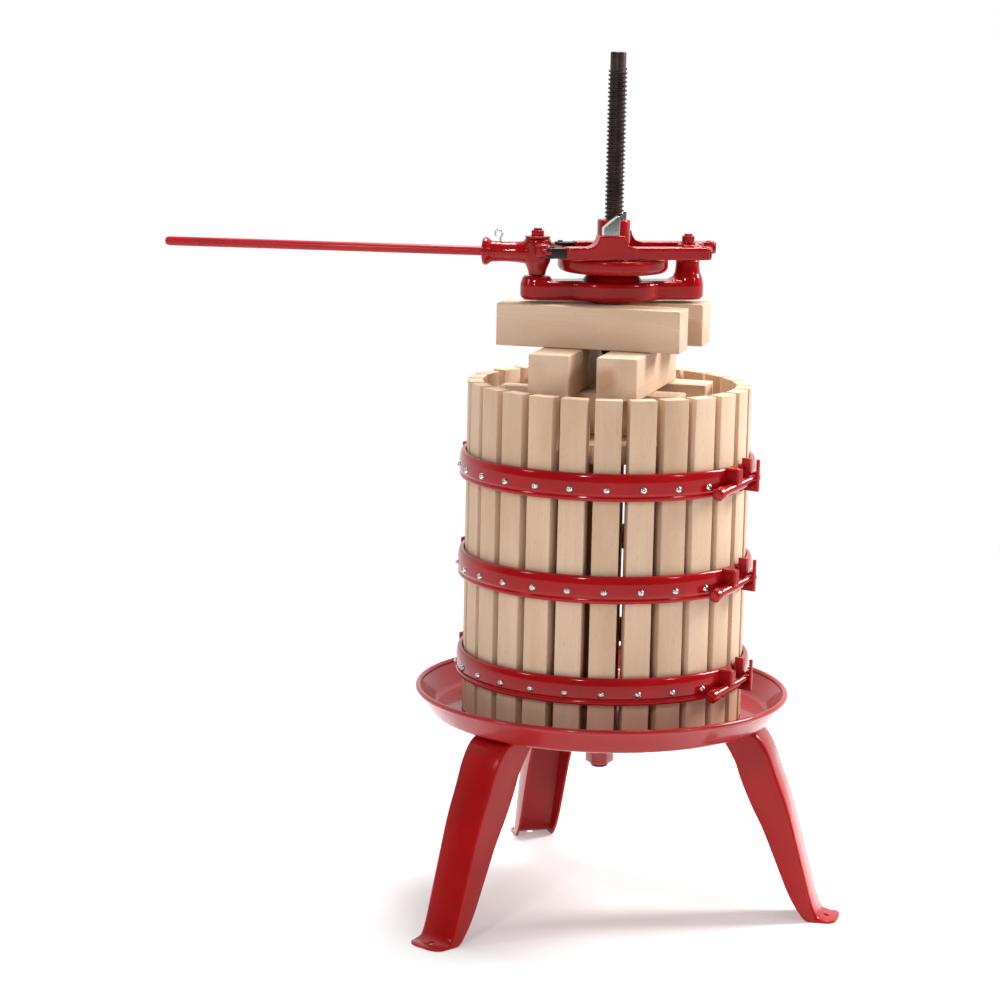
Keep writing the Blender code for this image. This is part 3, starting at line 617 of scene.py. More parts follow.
# ================================================================ finishes
class Shading(Graph):
    """A material under construction."""

    def __init__(self, name: str) -> None:
        """Start a material with a Principled BSDF and object coordinates."""
        self.material = bpy.data.materials.new(name)
        self.material.use_nodes = True
        super().__init__(self.material.node_tree)
        self.shader = self.nodes["Principled BSDF"]
        self.place = self.node("ShaderNodeTexCoord").outputs["Object"]

    def set(self, **values: object) -> None:
        """Set inputs of the shader, with spaces in their names written as underscores."""
        for name, value in values.items():
            self.shader.inputs[name.replace("_", " ")].default_value = value

    def mapping(self, location: Sequence[float] = (0, 0, 0), turn: float = 0.0,
                scale: Sequence[float] = (1, 1, 1), source: Socket | None = None) -> Socket:
        """Move, turn and scale the coordinates of a pattern.

        Args:
            location: The move.
            turn: The turn about the upright axis in radians.
            scale: The scale along each axis.
            source: The coordinates, or None for the object's own.

        Returns:
            The socket of the new coordinates.
        """
        node = self.node("ShaderNodeMapping", vector_type="POINT")
        node.inputs["Location"].default_value = location
        node.inputs["Rotation"].default_value = (0, 0, turn)
        node.inputs["Scale"].default_value = scale
        self.link(source or self.place, node.inputs["Vector"])
        return node.outputs[0]

    def noise(self, scale: float, detail: float = 3.0, roughness: float = 0.5,
              place: Socket | None = None) -> Socket:
        """A noise pattern between 0 and 1.

        Args:
            scale: Its waves in a metre.
            detail: How many finer waves it has.
            roughness: How strong they are.
            place: The coordinates, or None for the object's own.

        Returns:
            The socket of the pattern.
        """
        node = self.node("ShaderNodeTexNoise")
        node.inputs["Scale"].default_value = scale
        node.inputs["Detail"].default_value = detail
        node.inputs["Roughness"].default_value = roughness
        self.link(place or self.place, node.inputs["Vector"])
        return node.outputs["Fac"]

    def ramp(self, factor: Socket, stops: Sequence[tuple[float, Sequence[float]]]) -> Socket:
        """Turn a value into a colour by stops of (position, colour)."""
        node = self.node("ShaderNodeValToRGB")
        elements = node.color_ramp.elements
        while len(elements) < len(stops):
            elements.new(0.5)
        for element, (position, colour) in zip(elements, stops):
            element.position = position
            element.color = (*colour, 1.0)
        self.link(factor, node.inputs["Fac"])
        return node.outputs["Color"]

    def mix(self, factor: Socket | float, first: Socket, second: Socket | Sequence[float],
            blend: str = "MIX") -> Socket:
        """Blend two colours.

        Args:
            factor: The share of the second colour.
            first: The first colour.
            second: The second colour.
            blend: The way they are blended.

        Returns:
            The socket of the blended colour.
        """
        node = self.node("ShaderNodeMix", data_type="RGBA", blend_type=blend)
        chosen = {s.identifier: s for s in node.inputs}
        if not isinstance(second, bpy.types.NodeSocket):
            second = (*second, 1.0)
        for name, value in (("Factor_Float", factor), ("A_Color", first), ("B_Color", second)):
            self.feed(chosen[name], value)
        return next(s for s in node.outputs if s.identifier == "Result_Color")

    def bump(self, height: Socket, distance: float, strength: float = 1.0,
             below: Socket | None = None) -> Socket:
        """Turn a height pattern into a surface normal.

        Args:
            height: The pattern.
            distance: The height of its tops in metres.
            strength: How much of it is used.
            below: The normal that it is laid on, or None for the plain surface.

        Returns:
            The socket of the normal.
        """
        node = self.node("ShaderNodeBump")
        node.inputs["Distance"].default_value = distance
        node.inputs["Strength"].default_value = strength
        self.link(height, node.inputs["Height"])
        if below is not None:
            self.link(below, node.inputs["Normal"])
        return node.outputs[0]

    def drive(self, name: str, socket: Socket) -> None:
        """Feed an input of the shader."""
        self.link(socket, self.shader.inputs[name])


@dataclass(frozen=True)
class Enamel:
    """Glossy paint on metal, thinner and lighter along worn edges."""

    name: str
    colour: tuple[float, float, float]
    deep: tuple[float, float, float]
    thin: tuple[float, float, float]
    roughness: float = 0.16
    relief: float = 0.00010
    relief_scale: float = 160.0
    coat: float = 0.6

    def build(self) -> bpy.types.Material:
        """Make the material.

        Returns:
            A painted surface with the paint's mottle, its orange-peel relief and its thin edges.
        """
        shade = Shading(self.name)
        mottle = shade.noise(14.0, 4.0, 0.6)
        colour = shade.ramp(mottle, [(0.30, self.deep), (0.70, self.colour)])
        edge = shade.node("ShaderNodeNewGeometry").outputs["Pointiness"]
        worn = shade.span(edge, 0.0, 0.55, 0.515, 0.60)
        colour = shade.mix(worn, colour, self.thin)
        speck = shade.span(shade.noise(900.0, 2.0, 0.7), 0.0, 1.0, 0.66, 0.74)
        colour = shade.mix(shade.math("MULTIPLY", speck, 0.25), colour, self.deep)
        shade.drive("Base Color", colour)
        smear = shade.noise(38.0, 5.0, 0.65)
        shade.drive("Roughness", shade.span(smear, self.roughness * 0.75, self.roughness * 1.5))
        peel = shade.noise(self.relief_scale, 3.0, 0.55)
        coarse = shade.bump(shade.noise(self.relief_scale * 0.22, 2.0), self.relief * 2.2)
        shade.drive("Normal", shade.bump(peel, self.relief, 1.0, coarse))
        shade.set(Coat_Weight=self.coat, Coat_Roughness=0.05, IOR=1.5, Specular_IOR_Level=0.22)
        return shade.material


class Grain(Enum):
    """The direction in which the fibres of a piece of timber run."""

    UPRIGHT = "upright"
    ALONG = "along"
    ACROSS = "across"


@dataclass(frozen=True)
class Beech:
    """Planed, unfinished pale beech with growth rings, ray flecks and a slight sheen."""

    name: str
    grain: Grain
    turn: float = 0.0
    knot: tuple[float, float, float] | None = None
    pale: tuple[float, float, float] = (0.750, 0.560, 0.420)
    warm: tuple[float, float, float] = (0.640, 0.445, 0.315)
    ray: tuple[float, float, float] = (0.440, 0.270, 0.165)
    heart_stain: tuple[float, float, float] = (0.42, 0.200, 0.080)
    rings: float = 290.0            # growth rings in a metre, and how many the grain wanders
    waviness: float = 7.0
    late_wood: float = 0.26
    streaks: float = 0.34
    stain_scale: float = 26.0

    def fibre_scale(self, across: float, along: float) -> tuple[float, float, float]:
        """Scales that stretch a pattern along the fibres."""
        if self.grain is Grain.UPRIGHT:
            return (across, across, along)
        return (along, across, across) if self.grain is Grain.ALONG else (across, along, across)

    def build(self) -> bpy.types.Material:
        """Make the material.

        Returns:
            A timber surface whose rings are cut through the solid, so that ends show arcs.
        """
        shade = Shading(self.name)
        tone = shade.node("ShaderNodeAttribute", attribute_name="tone")
        offset = shade.node("ShaderNodeVectorMath", operation="SCALE")
        offset.inputs[0].default_value = (3.1, 1.7, 2.3)
        shade.link(tone.outputs["Fac"], offset.inputs["Scale"])
        own = shade.node("ShaderNodeVectorMath", operation="ADD")
        shade.link(shade.mapping(turn=-radians(self.turn)), own.inputs[0])
        shade.link(offset.outputs[0], own.inputs[1])
        place = own.outputs[0]

        wander = shade.noise(5.0, 3.0, 0.5, shade.mapping(scale=self.fibre_scale(3.0, 0.5), source=place))
        heart = shade.mapping(location=(0.21, 0.34, 0.12), scale=self.fibre_scale(1.0, 0.02), source=place)
        rings = shade.math("ADD", shade.math("MULTIPLY", shade.length(heart), self.rings),
                           shade.math("MULTIPLY", wander, self.waviness))
        ring = shade.math("FRACT", rings)
        late = shade.math("POWER", ring, 3.0)
        streak = shade.noise(1.0, 5.0, 0.6, shade.mapping(scale=self.fibre_scale(420.0, 9.0), source=place))
        cloud = shade.noise(9.0, 3.0, 0.5, shade.mapping(scale=self.fibre_scale(3.0, 0.6), source=place))

        colour = shade.ramp(cloud, [(0.28, self.warm), (0.62, self.pale)])
        colour = shade.mix(shade.math("MULTIPLY", late, self.late_wood), colour, self.warm)
        streaks = shade.math("MULTIPLY", shade.span(streak, 0.0, 1.0, 0.46, 0.72), self.streaks)
        colour = shade.mix(streaks, colour, self.warm)
        fleck = shade.noise(1.0, 1.0, 0.4, shade.mapping(scale=self.fibre_scale(1150.0, 130.0), source=place))
        fleck = shade.span(fleck, 0.0, 0.50, 0.66, 0.74)
        colour = shade.mix(fleck, colour, self.ray)
        if self.knot is not None:
            colour = self.stain(shade, colour, wander)
        light = shade.ramp(tone.outputs["Fac"], [(0.0, (0.86, 0.83, 0.80)), (0.5, (0.98, 0.98, 0.98)),
                                                 (1.0, (1.0, 0.985, 0.95))])
        colour = shade.mix(1.0, colour, light, "MULTIPLY")
        shade.drive("Base Color", colour)
        shade.drive("Roughness", shade.span(streak, 0.48, 0.68))
        relief = shade.bump(streak, 0.00012)
        shade.drive("Normal", shade.bump(fleck, -0.00008, 1.0, relief))
        shade.set(IOR=1.45, Specular_IOR_Level=0.35)
        return shade.material

    def stain(self, shade: Shading, colour: Socket, wander: Socket) -> Socket:
        """A brown heart stain with a curved edge about the knot's place."""
        local = shade.mapping(location=[-value * self.stain_scale for value in self.knot],
                              scale=[self.stain_scale] * 3)
        edge = shade.math("ADD", shade.length(local), shade.math("MULTIPLY", wander, 0.9))
        band = shade.span(edge, 0.55, 0.0, 0.72, 0.98)
        return shade.mix(band, colour, self.heart_stain)


@dataclass(frozen=True)
class BareSteel:
    """Metal without paint: blackened and oiled, or zinc plated."""

    name: str
    colour: tuple[float, float, float]
    tint: tuple[float, float, float]
    roughness: float
    metallic: float = 1.0
    relief: float = 0.00005

    def build(self) -> bpy.types.Material:
        """Make the material.

        Returns:
            A metal surface with a cloudy tint, handling smears and fine scratches.
        """
        shade = Shading(self.name)
        cloud = shade.noise(60.0, 4.0, 0.6)
        colour = shade.ramp(cloud, [(0.35, self.colour), (0.68, self.tint)])
        shade.drive("Base Color", colour)
        smear = shade.noise(210.0, 4.0, 0.7)
        shade.drive("Roughness", shade.span(smear, self.roughness * 0.7, self.roughness * 1.4))
        scratch = shade.noise(1.0, 3.0, 0.6, shade.mapping(scale=(900.0, 900.0, 60.0)))
        shade.drive("Normal", shade.bump(scratch, self.relief))
        shade.set(Metallic=self.metallic)
        return shade.material


class Finishes:
    """Every finish of the press, made once."""

    def __init__(self, block_turn: float, knot: Vector) -> None:
        """Make the finishes.

        Args:
            block_turn: How far the stack of blocks is turned, in degrees.
            knot: The place of the stain in the front end of one beam.
        """
        self.casting = Enamel("casting_enamel", (0.350, 0.0040, 0.0060), (0.240, 0.0028, 0.0042),
                              (0.50, 0.035, 0.038), 0.12, 0.00016, 120.0, 0.20).build()
        self.hoop = Enamel("hoop_enamel", (0.360, 0.0045, 0.0070), (0.280, 0.0035, 0.0055),
                           (0.58, 0.050, 0.052), 0.10, 0.00005, 190.0, 0.20).build()
        self.leg = Enamel("leg_enamel", (0.370, 0.0030, 0.0040), (0.290, 0.0025, 0.0035),
                          (0.50, 0.030, 0.030), 0.17, 0.00005, 150.0, 0.12).build()
        self.tray = Enamel("tray_enamel", (0.360, 0.013, 0.015), (0.300, 0.010, 0.012),
                           (0.62, 0.100, 0.100), 0.20, 0.00006, 210.0, 0.35).build()
        self.bar = Enamel("bar_enamel", (0.420, 0.012, 0.015), (0.330, 0.008, 0.011),
                          (0.55, 0.050, 0.050), 0.28, 0.00006, 240.0, 0.12).build()
        self.thread = BareSteel("black_thread", (0.030, 0.020, 0.021), (0.070, 0.040, 0.038), 0.34,
                                0.75).build()
        # The arm links' near-black colour is painted shade: it darkens the shadowed gap between the lever and
        # the left end of each arm.
        self.link = BareSteel("black_link", (0.016, 0.013, 0.014), (0.030, 0.022, 0.022), 0.30, 0.5).build()
        self.zinc = BareSteel("zinc_plate", (0.70, 0.73, 0.71), (0.56, 0.66, 0.60), 0.26).build()
        self.stave = Beech("stave_beech", Grain.UPRIGHT, pale=(0.680, 0.485, 0.350),
                           warm=(0.575, 0.385, 0.260)).build()
        self.along = Beech("beam_beech", Grain.ALONG, block_turn).build()
        self.across = Beech("cross_beam_beech", Grain.ACROSS, block_turn).build()
        self.knotted = Beech("knotted_beech", Grain.ACROSS, block_turn, tuple(knot)).build()
        self.floor = self.build_floor()

    def build_floor(self) -> bpy.types.Material:
        """A plain pale floor that turns into a white glow with the distance from the press."""
        shade = Shading("pale_floor")
        far = shade.span(shade.length(shade.mapping()), 0.0, 1.0, 0.9, 2.6)
        shade.drive("Base Color", shade.ramp(far, [(0.0, (0.70, 0.70, 0.705)), (1.0, (0.0, 0.0, 0.0))]))
        shade.drive("Emission Strength", shade.span(far, 0.28, 1.0))
        shade.set(Roughness=0.80, Specular_IOR_Level=0.0, Emission_Color=(1.0, 1.0, 1.0, 1.0))
        return shade.material


def dress(piece: bpy.types.Object, finish: bpy.types.Material, body: str,
          stands_for: Sequence[str] = (), to_world: bool = True) -> bpy.types.Object:
    """Give a finished piece its material, its place and its body.

    Args:
        piece: The piece, built about the spindle's axis.
        finish: Its material.
        body: The frame body that it rides on.
        stands_for: The frame nodes that it replaces.
        to_world: Whether its mesh is still about the spindle's axis.

    Returns:
        The piece.
    """
    if to_world:
        moved(piece, TO_WORLD)
    piece.data.materials.clear()
    piece.data.materials.append(finish)
    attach(piece, body)
    if stands_for:
        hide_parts(*stands_for)
    LOG.info("%s rides on %s with %d faces", piece.name, body, len(piece.data.polygons))
    return piece


# ================================================================ stand
@dataclass(frozen=True)
class StandSize:
    """Sizes of the tray, the spindle and the legs, in metres and degrees."""

    rim_r: float = 0.2252
    rim_z: float = 0.2654
    bead_r: float = 0.0034
    floor_r: float = 0.2040
    floor_z: float = 0.2356
    sheet: float = 0.0030
    spout_azimuth: float = 180.0
    spout_r: float = 0.0110
    spout_wall: float = 0.0024
    spout_reach: float = 0.2490
    spindle_r: float = 0.0112
    root_r: float = 0.0093
    thread_pitch: float = 0.0050
    spindle_top: float = 1.0238
    spindle_foot: float = 0.1645
    tip_length: float = 0.0160
    nut_across_flats: float = 0.0300
    collar_r: float = 0.0190
    sleeve_r: float = 0.0150
    leg_azimuths: tuple[float, ...] = (78.2, -41.8, -161.8)
    leg_half_top: float = 0.0305
    leg_half_foot: float = 0.0255
    leg_fold: float = 0.0046
    foot_hole_r: float = 0.0040
    foot_hole_at: float = 0.2845


class Stand:
    """The tray on its three legs, with the spindle bolted through the middle."""

    def __init__(self, size: StandSize, finishes: Finishes) -> None:
        """Keep the sizes and finishes."""
        self.size = size
        self.finishes = finishes

    def build(self) -> None:
        """Build and dress every piece of the stand."""
        finishes = self.finishes
        dress(self.tray(), finishes.tray, "stand", ["tray"])
        dress(self.spindle(), finishes.thread, "stand", ["spindle"])
        dress(self.bottom_nut(), finishes.tray, "stand")
        for name, azimuth in zip(("leg_right", "leg_left", "leg_back"), self.size.leg_azimuths):
            dress(self.leg(name, azimuth), finishes.leg, "stand", [name])

    def tray(self) -> bpy.types.Object:
        """The pressed tray.

        Returns:
            A turned dish with a rolled bead on its rim and a drain pipe at the back.
        """
        size = self.size
        under, floor = size.floor_z - size.sheet, size.floor_z
        bead = (size.rim_r - size.bead_r, size.rim_z - size.bead_r)
        roll = arc(bead, size.bead_r, -62, 205, 22)
        hole = size.spindle_r + 0.0008
        corners = [(hole, under), (size.floor_r + 0.0010, under), roll[0]]
        outside = rounded([*corners, (roll[0][0] + 0.0001, roll[0][1] + 0.0002)], [0, 0.0075, 0.0005, 0], 8)
        inside = rounded([roll[-1], (size.floor_r - 0.0022, floor), (hole, floor)], [0, 0.0070, 0], 8)
        tray = revolved("press_tray", outside[:-1] + roll + inside[1:], 224, closed=True)
        aim = turned(size.spout_azimuth) @ shift(z=floor + size.spout_r + 0.0022) @ UPENDED
        outer = size.spout_r + size.spout_wall
        pipe = revolved("pipe", rounded([
            (0.0, size.floor_r + 0.0060), (outer, size.floor_r + 0.0060), (outer, size.spout_reach),
            (0.0, size.spout_reach)], [0, 0, 0.0011, 0]), 72)
        bore = rod("bore", size.spout_r, size.floor_r - 0.0050, size.spout_reach + 0.01, steps=72)
        return cut(combined(tray, [moved(pipe, aim)], "UNION"), [moved(bore, aim)])

    def spindle(self) -> bpy.types.Object:
        """The threaded rod with its collar on the tray and its sleeve below it."""
        size = self.size
        collar, under = size.floor_z + CLEARANCE, size.floor_z - size.sheet - CLEARANCE
        top, tip, foot = size.spindle_top, size.root_r, size.spindle_foot
        wide, sleeve = size.collar_r, size.sleeve_r
        core = revolved("core", [
            (0.0, top), *rounded([(0.0, top), (tip, top), (tip, top - 0.01)], 0.0014)[1:-1],
            (tip, collar + 0.0110), *rounded([
                (tip, collar + 0.0110), (wide, collar + 0.0100), (wide, collar)], 0.0020)[1:-1],
            (wide, collar), (size.spindle_r, collar), (size.spindle_r, under),
            *rounded([(size.spindle_r, under), (sleeve, under), (sleeve, foot + 0.0275)], 0.0008)[1:-1],
            (sleeve, foot + 0.0275), (0.0110, foot + 0.0270), (0.0110, foot + 0.0050),
            (0.0104, foot + 0.0012), (0.0092, foot), (0.0, foot)], 64)
        start, end = collar + 0.0130, top - size.tip_length - 0.0040
        thread = thread_tree().run("thread", {
            "Radius": size.root_r, "Pitch": size.thread_pitch, "Depth": size.spindle_r - size.root_r,
            "Turns": (end - start) / size.thread_pitch, "Bottom": start, "Finish": self.finishes.thread})
        shaded(thread.data, 30)
        return joined("threaded_spindle", [core, thread])

    def bottom_nut(self) -> bpy.types.Object:
        """The hexagonal nut under the tray, chamfered at both ends."""
        size = self.size
        low, high = size.spindle_foot + 0.0055, size.spindle_foot + 0.0272
        nut = prism("bottom_nut", hexagon(size.nut_across_flats / sqrt(3)), low, high, 0.0012)
        dome = revolved("dome", [(0.0, low - 0.0045), (0.0085, low - 0.0042), (0.0122, low - 0.0020),
                                 (0.0128, low + 0.0010), (0.0, low + 0.0010)], 48)
        return joined("bottom_nut", [nut, dome])

    def leg_lines(self) -> tuple[list[Point2], list[Point2]]:
        """The side view of a leg.

        Returns:
            The (radius, height) points of the outer face and those of the flanges' free edge.
        """
        top = self.size.floor_z - self.size.sheet - CLEARANCE
        sheet = self.size.sheet
        outer = [
            (0.1500, top), (0.1760, top), (0.1910, top - 0.0028), (0.2015, top - 0.0110),
            (0.2125, top - 0.0290), (0.2225, 0.1765), (0.2345, 0.1460), (0.2435, 0.1175), (0.2535, 0.0815),
            (0.2640, 0.0445), (0.2705, 0.0225), (0.2765, 0.0090), (0.2840, sheet),
            (0.2925, sheet), (0.2972, sheet), (0.2990, sheet)]
        edge = [
            (0.1500, top - 0.0060), (0.1585, top - 0.0190), (0.1635, top - 0.0270), (0.1680, top - 0.0350),
            (0.1725, top - 0.0440), (0.1800, 0.1670), (0.1935, 0.1370), (0.2080, 0.1090), (0.2245, 0.0700),
            (0.2400, 0.0340), (0.2530, 0.0120), (0.2650, 0.0), (0.2840, 0.0),
            (0.2925, 0.0), (0.2972, 0.0), (0.2990, 0.0)]
        return outer, edge

    def leg(self, name: str, azimuth: float) -> bpy.types.Object:
        """A leg pressed out of sheet.

        Args:
            name: The frame node's name, which the piece's name repeats.
            azimuth: Where the leg stands.

        Returns:
            A folded channel that curls out into a flat, drilled foot.
        """
        size = self.size
        outer, edge = self.leg_lines()
        count = len(outer)
        halves = [size.leg_half_top + (size.leg_half_foot - size.leg_half_top) * min(1.0, k / (count - 4))
                  for k in range(count)]
        halves[-3:] = [size.leg_half_foot * share for share in (0.92, 0.68, 0.30)]
        fine = 5
        rings = []
        for station in range((count - 1) * fine + 1):
            k, t = min(station // fine, count - 2), station / fine
            t -= k
            face, rim = self.between(outer, k, t), self.between(edge, k, t)
            half = self.between([(h, 0.0) for h in halves], k, t).x
            depth = max((rim - face).length, size.sheet)
            inward = (rim - face).normalized() if (rim - face).length > 1e-6 else Vector((0.0, -1.0))
            fold = min(size.leg_fold, depth * 0.46)
            inner, root = half - size.sheet, min(size.sheet, depth * 0.9)
            section = rounded([(-half, depth), (-half, 0.0), (half, 0.0), (half, depth), (inner, depth),
                               (inner, root), (-inner, root), (-inner, depth)],
                              [0.0004, fold, fold, 0.0004, 0.0004, fold * 0.35, fold * 0.35, 0.0004], 4, True)
            crown = 0.0016 * min(1.0, (depth - size.sheet) / 0.010)
            ring = []
            for across, deep in section:
                deep += crown * (across / half) ** 2 * (1.0 if deep < depth * 0.9 else 0.0)
                height = max(0.0, face.y + inward.y * deep)
                ring.append(Vector((face.x + inward.x * deep, across, height)))
            rings.append(ring)
        leg = lofted(f"{name}_pressing", rings, 42)
        hole = rod("hole", size.foot_hole_r, -0.01, 0.02, (size.foot_hole_at, 0.0))
        return moved(cut(leg, [hole], 42), turned(azimuth - 90.0))

    @staticmethod
    def between(points: Sequence[Point2], k: int, t: float) -> Vector:
        """A point of the smooth curve through points, at a share t of the way from point k to the next."""
        last = len(points) - 1
        before, start = Vector(points[max(k - 1, 0)]), Vector(points[k])
        end, after = Vector(points[min(k + 1, last)]), Vector(points[min(k + 2, last)])
        lead, trail = (end - before) / 2, (after - start) / 2
        return (start * (2 * t ** 3 - 3 * t ** 2 + 1) + lead * (t ** 3 - 2 * t ** 2 + t)
                + end * (3 * t ** 2 - 2 * t ** 3) + trail * (t ** 3 - t ** 2))


# ================================================================ basket
@dataclass(frozen=True)
class BasketSize:
    """Sizes of the basket, in metres and degrees."""

    stave_count: int = 26
    stave_width: float = 0.0310
    stave_thick: float = 0.0180
    stave_low: float = 0.2360
    stave_high: float = 0.6360
    stave_edge: float = 0.0011
    outer_r: float = 0.1680
    split: float = 62.3
    hoop_lines: tuple[tuple[str, float], ...] = (("top", 0.5363), ("middle", 0.4174), ("bottom", 0.2976))
    hoop_half: float = 0.0160
    hoop_inner_r: float = 0.1700
    hoop_outer_r: float = 0.1770
    hoop_sheet: float = 0.0028
    screw_drop: float = 0.0022
    hook_r: float = 0.1868
    hook_reach: float = 0.1930
    lug_reach: float = 0.1925
    bolt_azimuth: float = 55.2
    bolt_r: float = 0.1850
    bolt_drop: float = 0.0040
    bolt_tilt: float = 8.0
    bolt_reach: tuple[float, float] = (-0.0470, 0.0405)
    bolt_shank: float = 0.0038
    barrel: tuple[float, float] = (-0.0325, 0.0125)
    front_lug: float = -0.0060
    rear_lug: float = 0.0335


class Half(Enum):
    """The two halves: name, first stave's number and azimuth, pitch, the hoop's ends past the split."""

    FRONT = ("front", 18, 18 * 360.0 / 26, 360.0 / 26, -178.4, -1.8)
    REAR = ("rear", 5, 69.6, 13.56, 1.8, 178.4)

    def __init__(self, label: str, first: int, azimuth: float, pitch: float, start: float,
                 end: float) -> None:
        """Give the values their names."""
        self.label = label
        self.first = first
        self.azimuth = azimuth
        self.pitch = pitch
        self.start = start
        self.end = end

    @property
    def body(self) -> str:
        """The frame body of this half."""
        return f"basket_{self.label}"


class Basket:
    """Two halves of upright staves screwed to three hoops, drawn together by three bolts."""

    def __init__(self, size: BasketSize, finishes: Finishes) -> None:
        """Keep the sizes and finishes, and make the tree that repeats pieces."""
        self.size = size
        self.finishes = finishes
        self.ring = ring_tree()

    def build(self) -> None:
        """Build and dress every piece of the basket."""
        for half in Half:
            self.build_staves(half)
            self.build_screws(half)
            for level, line in self.size.hoop_lines:
                hoop = self.hoop(half, level, line)
                dress(hoop, self.finishes.hoop, half.body, [f"hoop_{half.label}_{level}"])
        for level, line in self.size.hoop_lines:
            bolt = self.draw_bolt(level, line)
            dress(bolt, self.finishes.hoop, "basket_front", [f"draw_bolt_{level}"])

    def repeat(self, name: str, piece: bpy.types.Object, half: Half, finish: bpy.types.Material,
               seed: int) -> bpy.types.Object:
        """Repeat a piece once for each stave of a half.

        Args:
            name: The finished object's name.
            piece: The piece at azimuth 0, which is removed.
            half: The half of the basket.
            finish: The piece's material.
            seed: The seed of the random tones.

        Returns:
            The ring of pieces as one plain mesh.
        """
        count = self.size.stave_count // 2
        result = self.ring.run(name, {
            "Piece": piece, "Count": count, "First azimuth": radians(half.azimuth),
            "Pitch": radians(half.pitch), "Seed": seed, "Finish": finish})
        bpy.data.objects.remove(piece, do_unlink=True)
        return result

    def build_staves(self, half: Half) -> None:
        """The thirteen staves of a half, as one piece."""
        size = self.size
        stave = rounded_box("stave", (-size.stave_width / 2, -size.outer_r, size.stave_low),
                            (size.stave_width / 2, size.stave_thick - size.outer_r, size.stave_high),
                            size.stave_edge)
        staves = self.repeat(f"staves_{half.label}", stave, half, self.finishes.stave, 4 + half.first)
        numbers = [(half.first + k) % size.stave_count for k in range(size.stave_count // 2)]
        dress(staves, self.finishes.stave, half.body,
              [f"stave_{half.label}_{number:02d}" for number in numbers])

    def build_screws(self, half: Half) -> None:
        """A domed, cross-slotted screw head on each stave under each hoop."""
        size = self.size
        seat = size.hoop_outer_r - 0.0002
        dome = [(0.0, 0.0030), (0.0014, 0.0029), (0.0027, 0.0023), (0.0036, 0.0012), (0.0040, 0.0),
                (0.0040, -0.0010), (0.0, -0.0010)]
        slots = [rounded_box("slot", (-x, -y, 0.0016), (x, y, 0.0040))
                 for x, y in ((0.0020, 0.0004), (0.0004, 0.0020))]
        head = cut(revolved("head", dome, 28, sharp=50), slots, 50)
        heads = []
        for turn, (_, line) in enumerate(size.hoop_lines):
            place = shift(y=-seat, z=line - size.screw_drop) @ UPENDED @ turned(27.0 * turn + 12.0)
            heads.append(moved(placed("head", head.data.copy()), place))
        bpy.data.objects.remove(head, do_unlink=True)
        screws = self.repeat(f"screws_{half.label}", joined("heads", heads), half, self.finishes.zinc, 9)
        shaded(screws.data, 45)
        dress(screws, self.finishes.zinc, half.body)

    def hoop_section(self) -> list[Point2]:
        """The hoop's (radius, height) outline: a bulged face, a crease and a lip at the bottom."""
        size = self.size
        half, inner, outer, sheet = size.hoop_half, size.hoop_inner_r, size.hoop_outer_r, size.hoop_sheet
        return rounded([
            (inner, half), (outer - 0.0022, half), (outer - 0.0002, 0.0085), (outer, 0.0),
            (outer - 0.0002, -0.0075), (outer - 0.0013, -0.0096), (outer - 0.0002, -0.0118),
            (outer - 0.0006, -half + 0.0010), (outer - 0.0030, -half), (inner, -half), (inner, -half + sheet),
            (outer - sheet, -half + sheet), (outer - sheet, half - sheet), (inner, half - sheet)],
            [0.0004, 0.0030, 0.0040, 0.0030, 0.0012, 0.0012, 0.0014, 0.0016, 0.0012, 0.0004, 0.0004,
             0.0008, 0.0008, 0.0004], 4, True)

    def hoop(self, half: Half, level: str, line: float) -> bpy.types.Object:
        """One half of a hoop.

        Args:
            half: The half of the basket.
            level: The hoop's level, used in its name.
            line: The height of its middle.

        Returns:
            The rolled band with its cast fittings.
        """
        size = self.size
        section = self.hoop_section()
        steps = 150
        rings = []
        for k in range(steps + 1):
            azimuth = size.split + half.start + (half.end - half.start) * k / steps
            rings.append([polar(azimuth, r, line + z) for r, z in section])
        band = lofted("band", rings, 40)
        fittings = self.front_fittings(line) if half is Half.FRONT else self.rear_fittings(line)
        return joined(f"hoop_band_{half.label}_{level}", [band, *fittings])

    def bolt_matrix(self, line: float) -> Matrix:
        """Puts local +Z along a draw bolt, from its head to its nut."""
        size = self.size
        middle = polar(size.bolt_azimuth, size.bolt_r, line - size.bolt_drop)
        return (Matrix.Translation(middle) @ turned(size.bolt_azimuth)
                @ Matrix.Rotation(radians(90.0 - size.bolt_tilt), 4, "Y"))

    @staticmethod
    def tab(azimuth: float, inner: float, outer: float, low: float, high: float, thick: float,
            along: float = 0.0, edge: float = 0.0009) -> bpy.types.Object:
        """An upright plate out of a hoop, moved along the tangent of the azimuth it faces."""
        plate = rounded_box("tab", (along - thick / 2, -outer, low), (along + thick / 2, -inner, high), edge)
        return moved(plate, turned(azimuth))

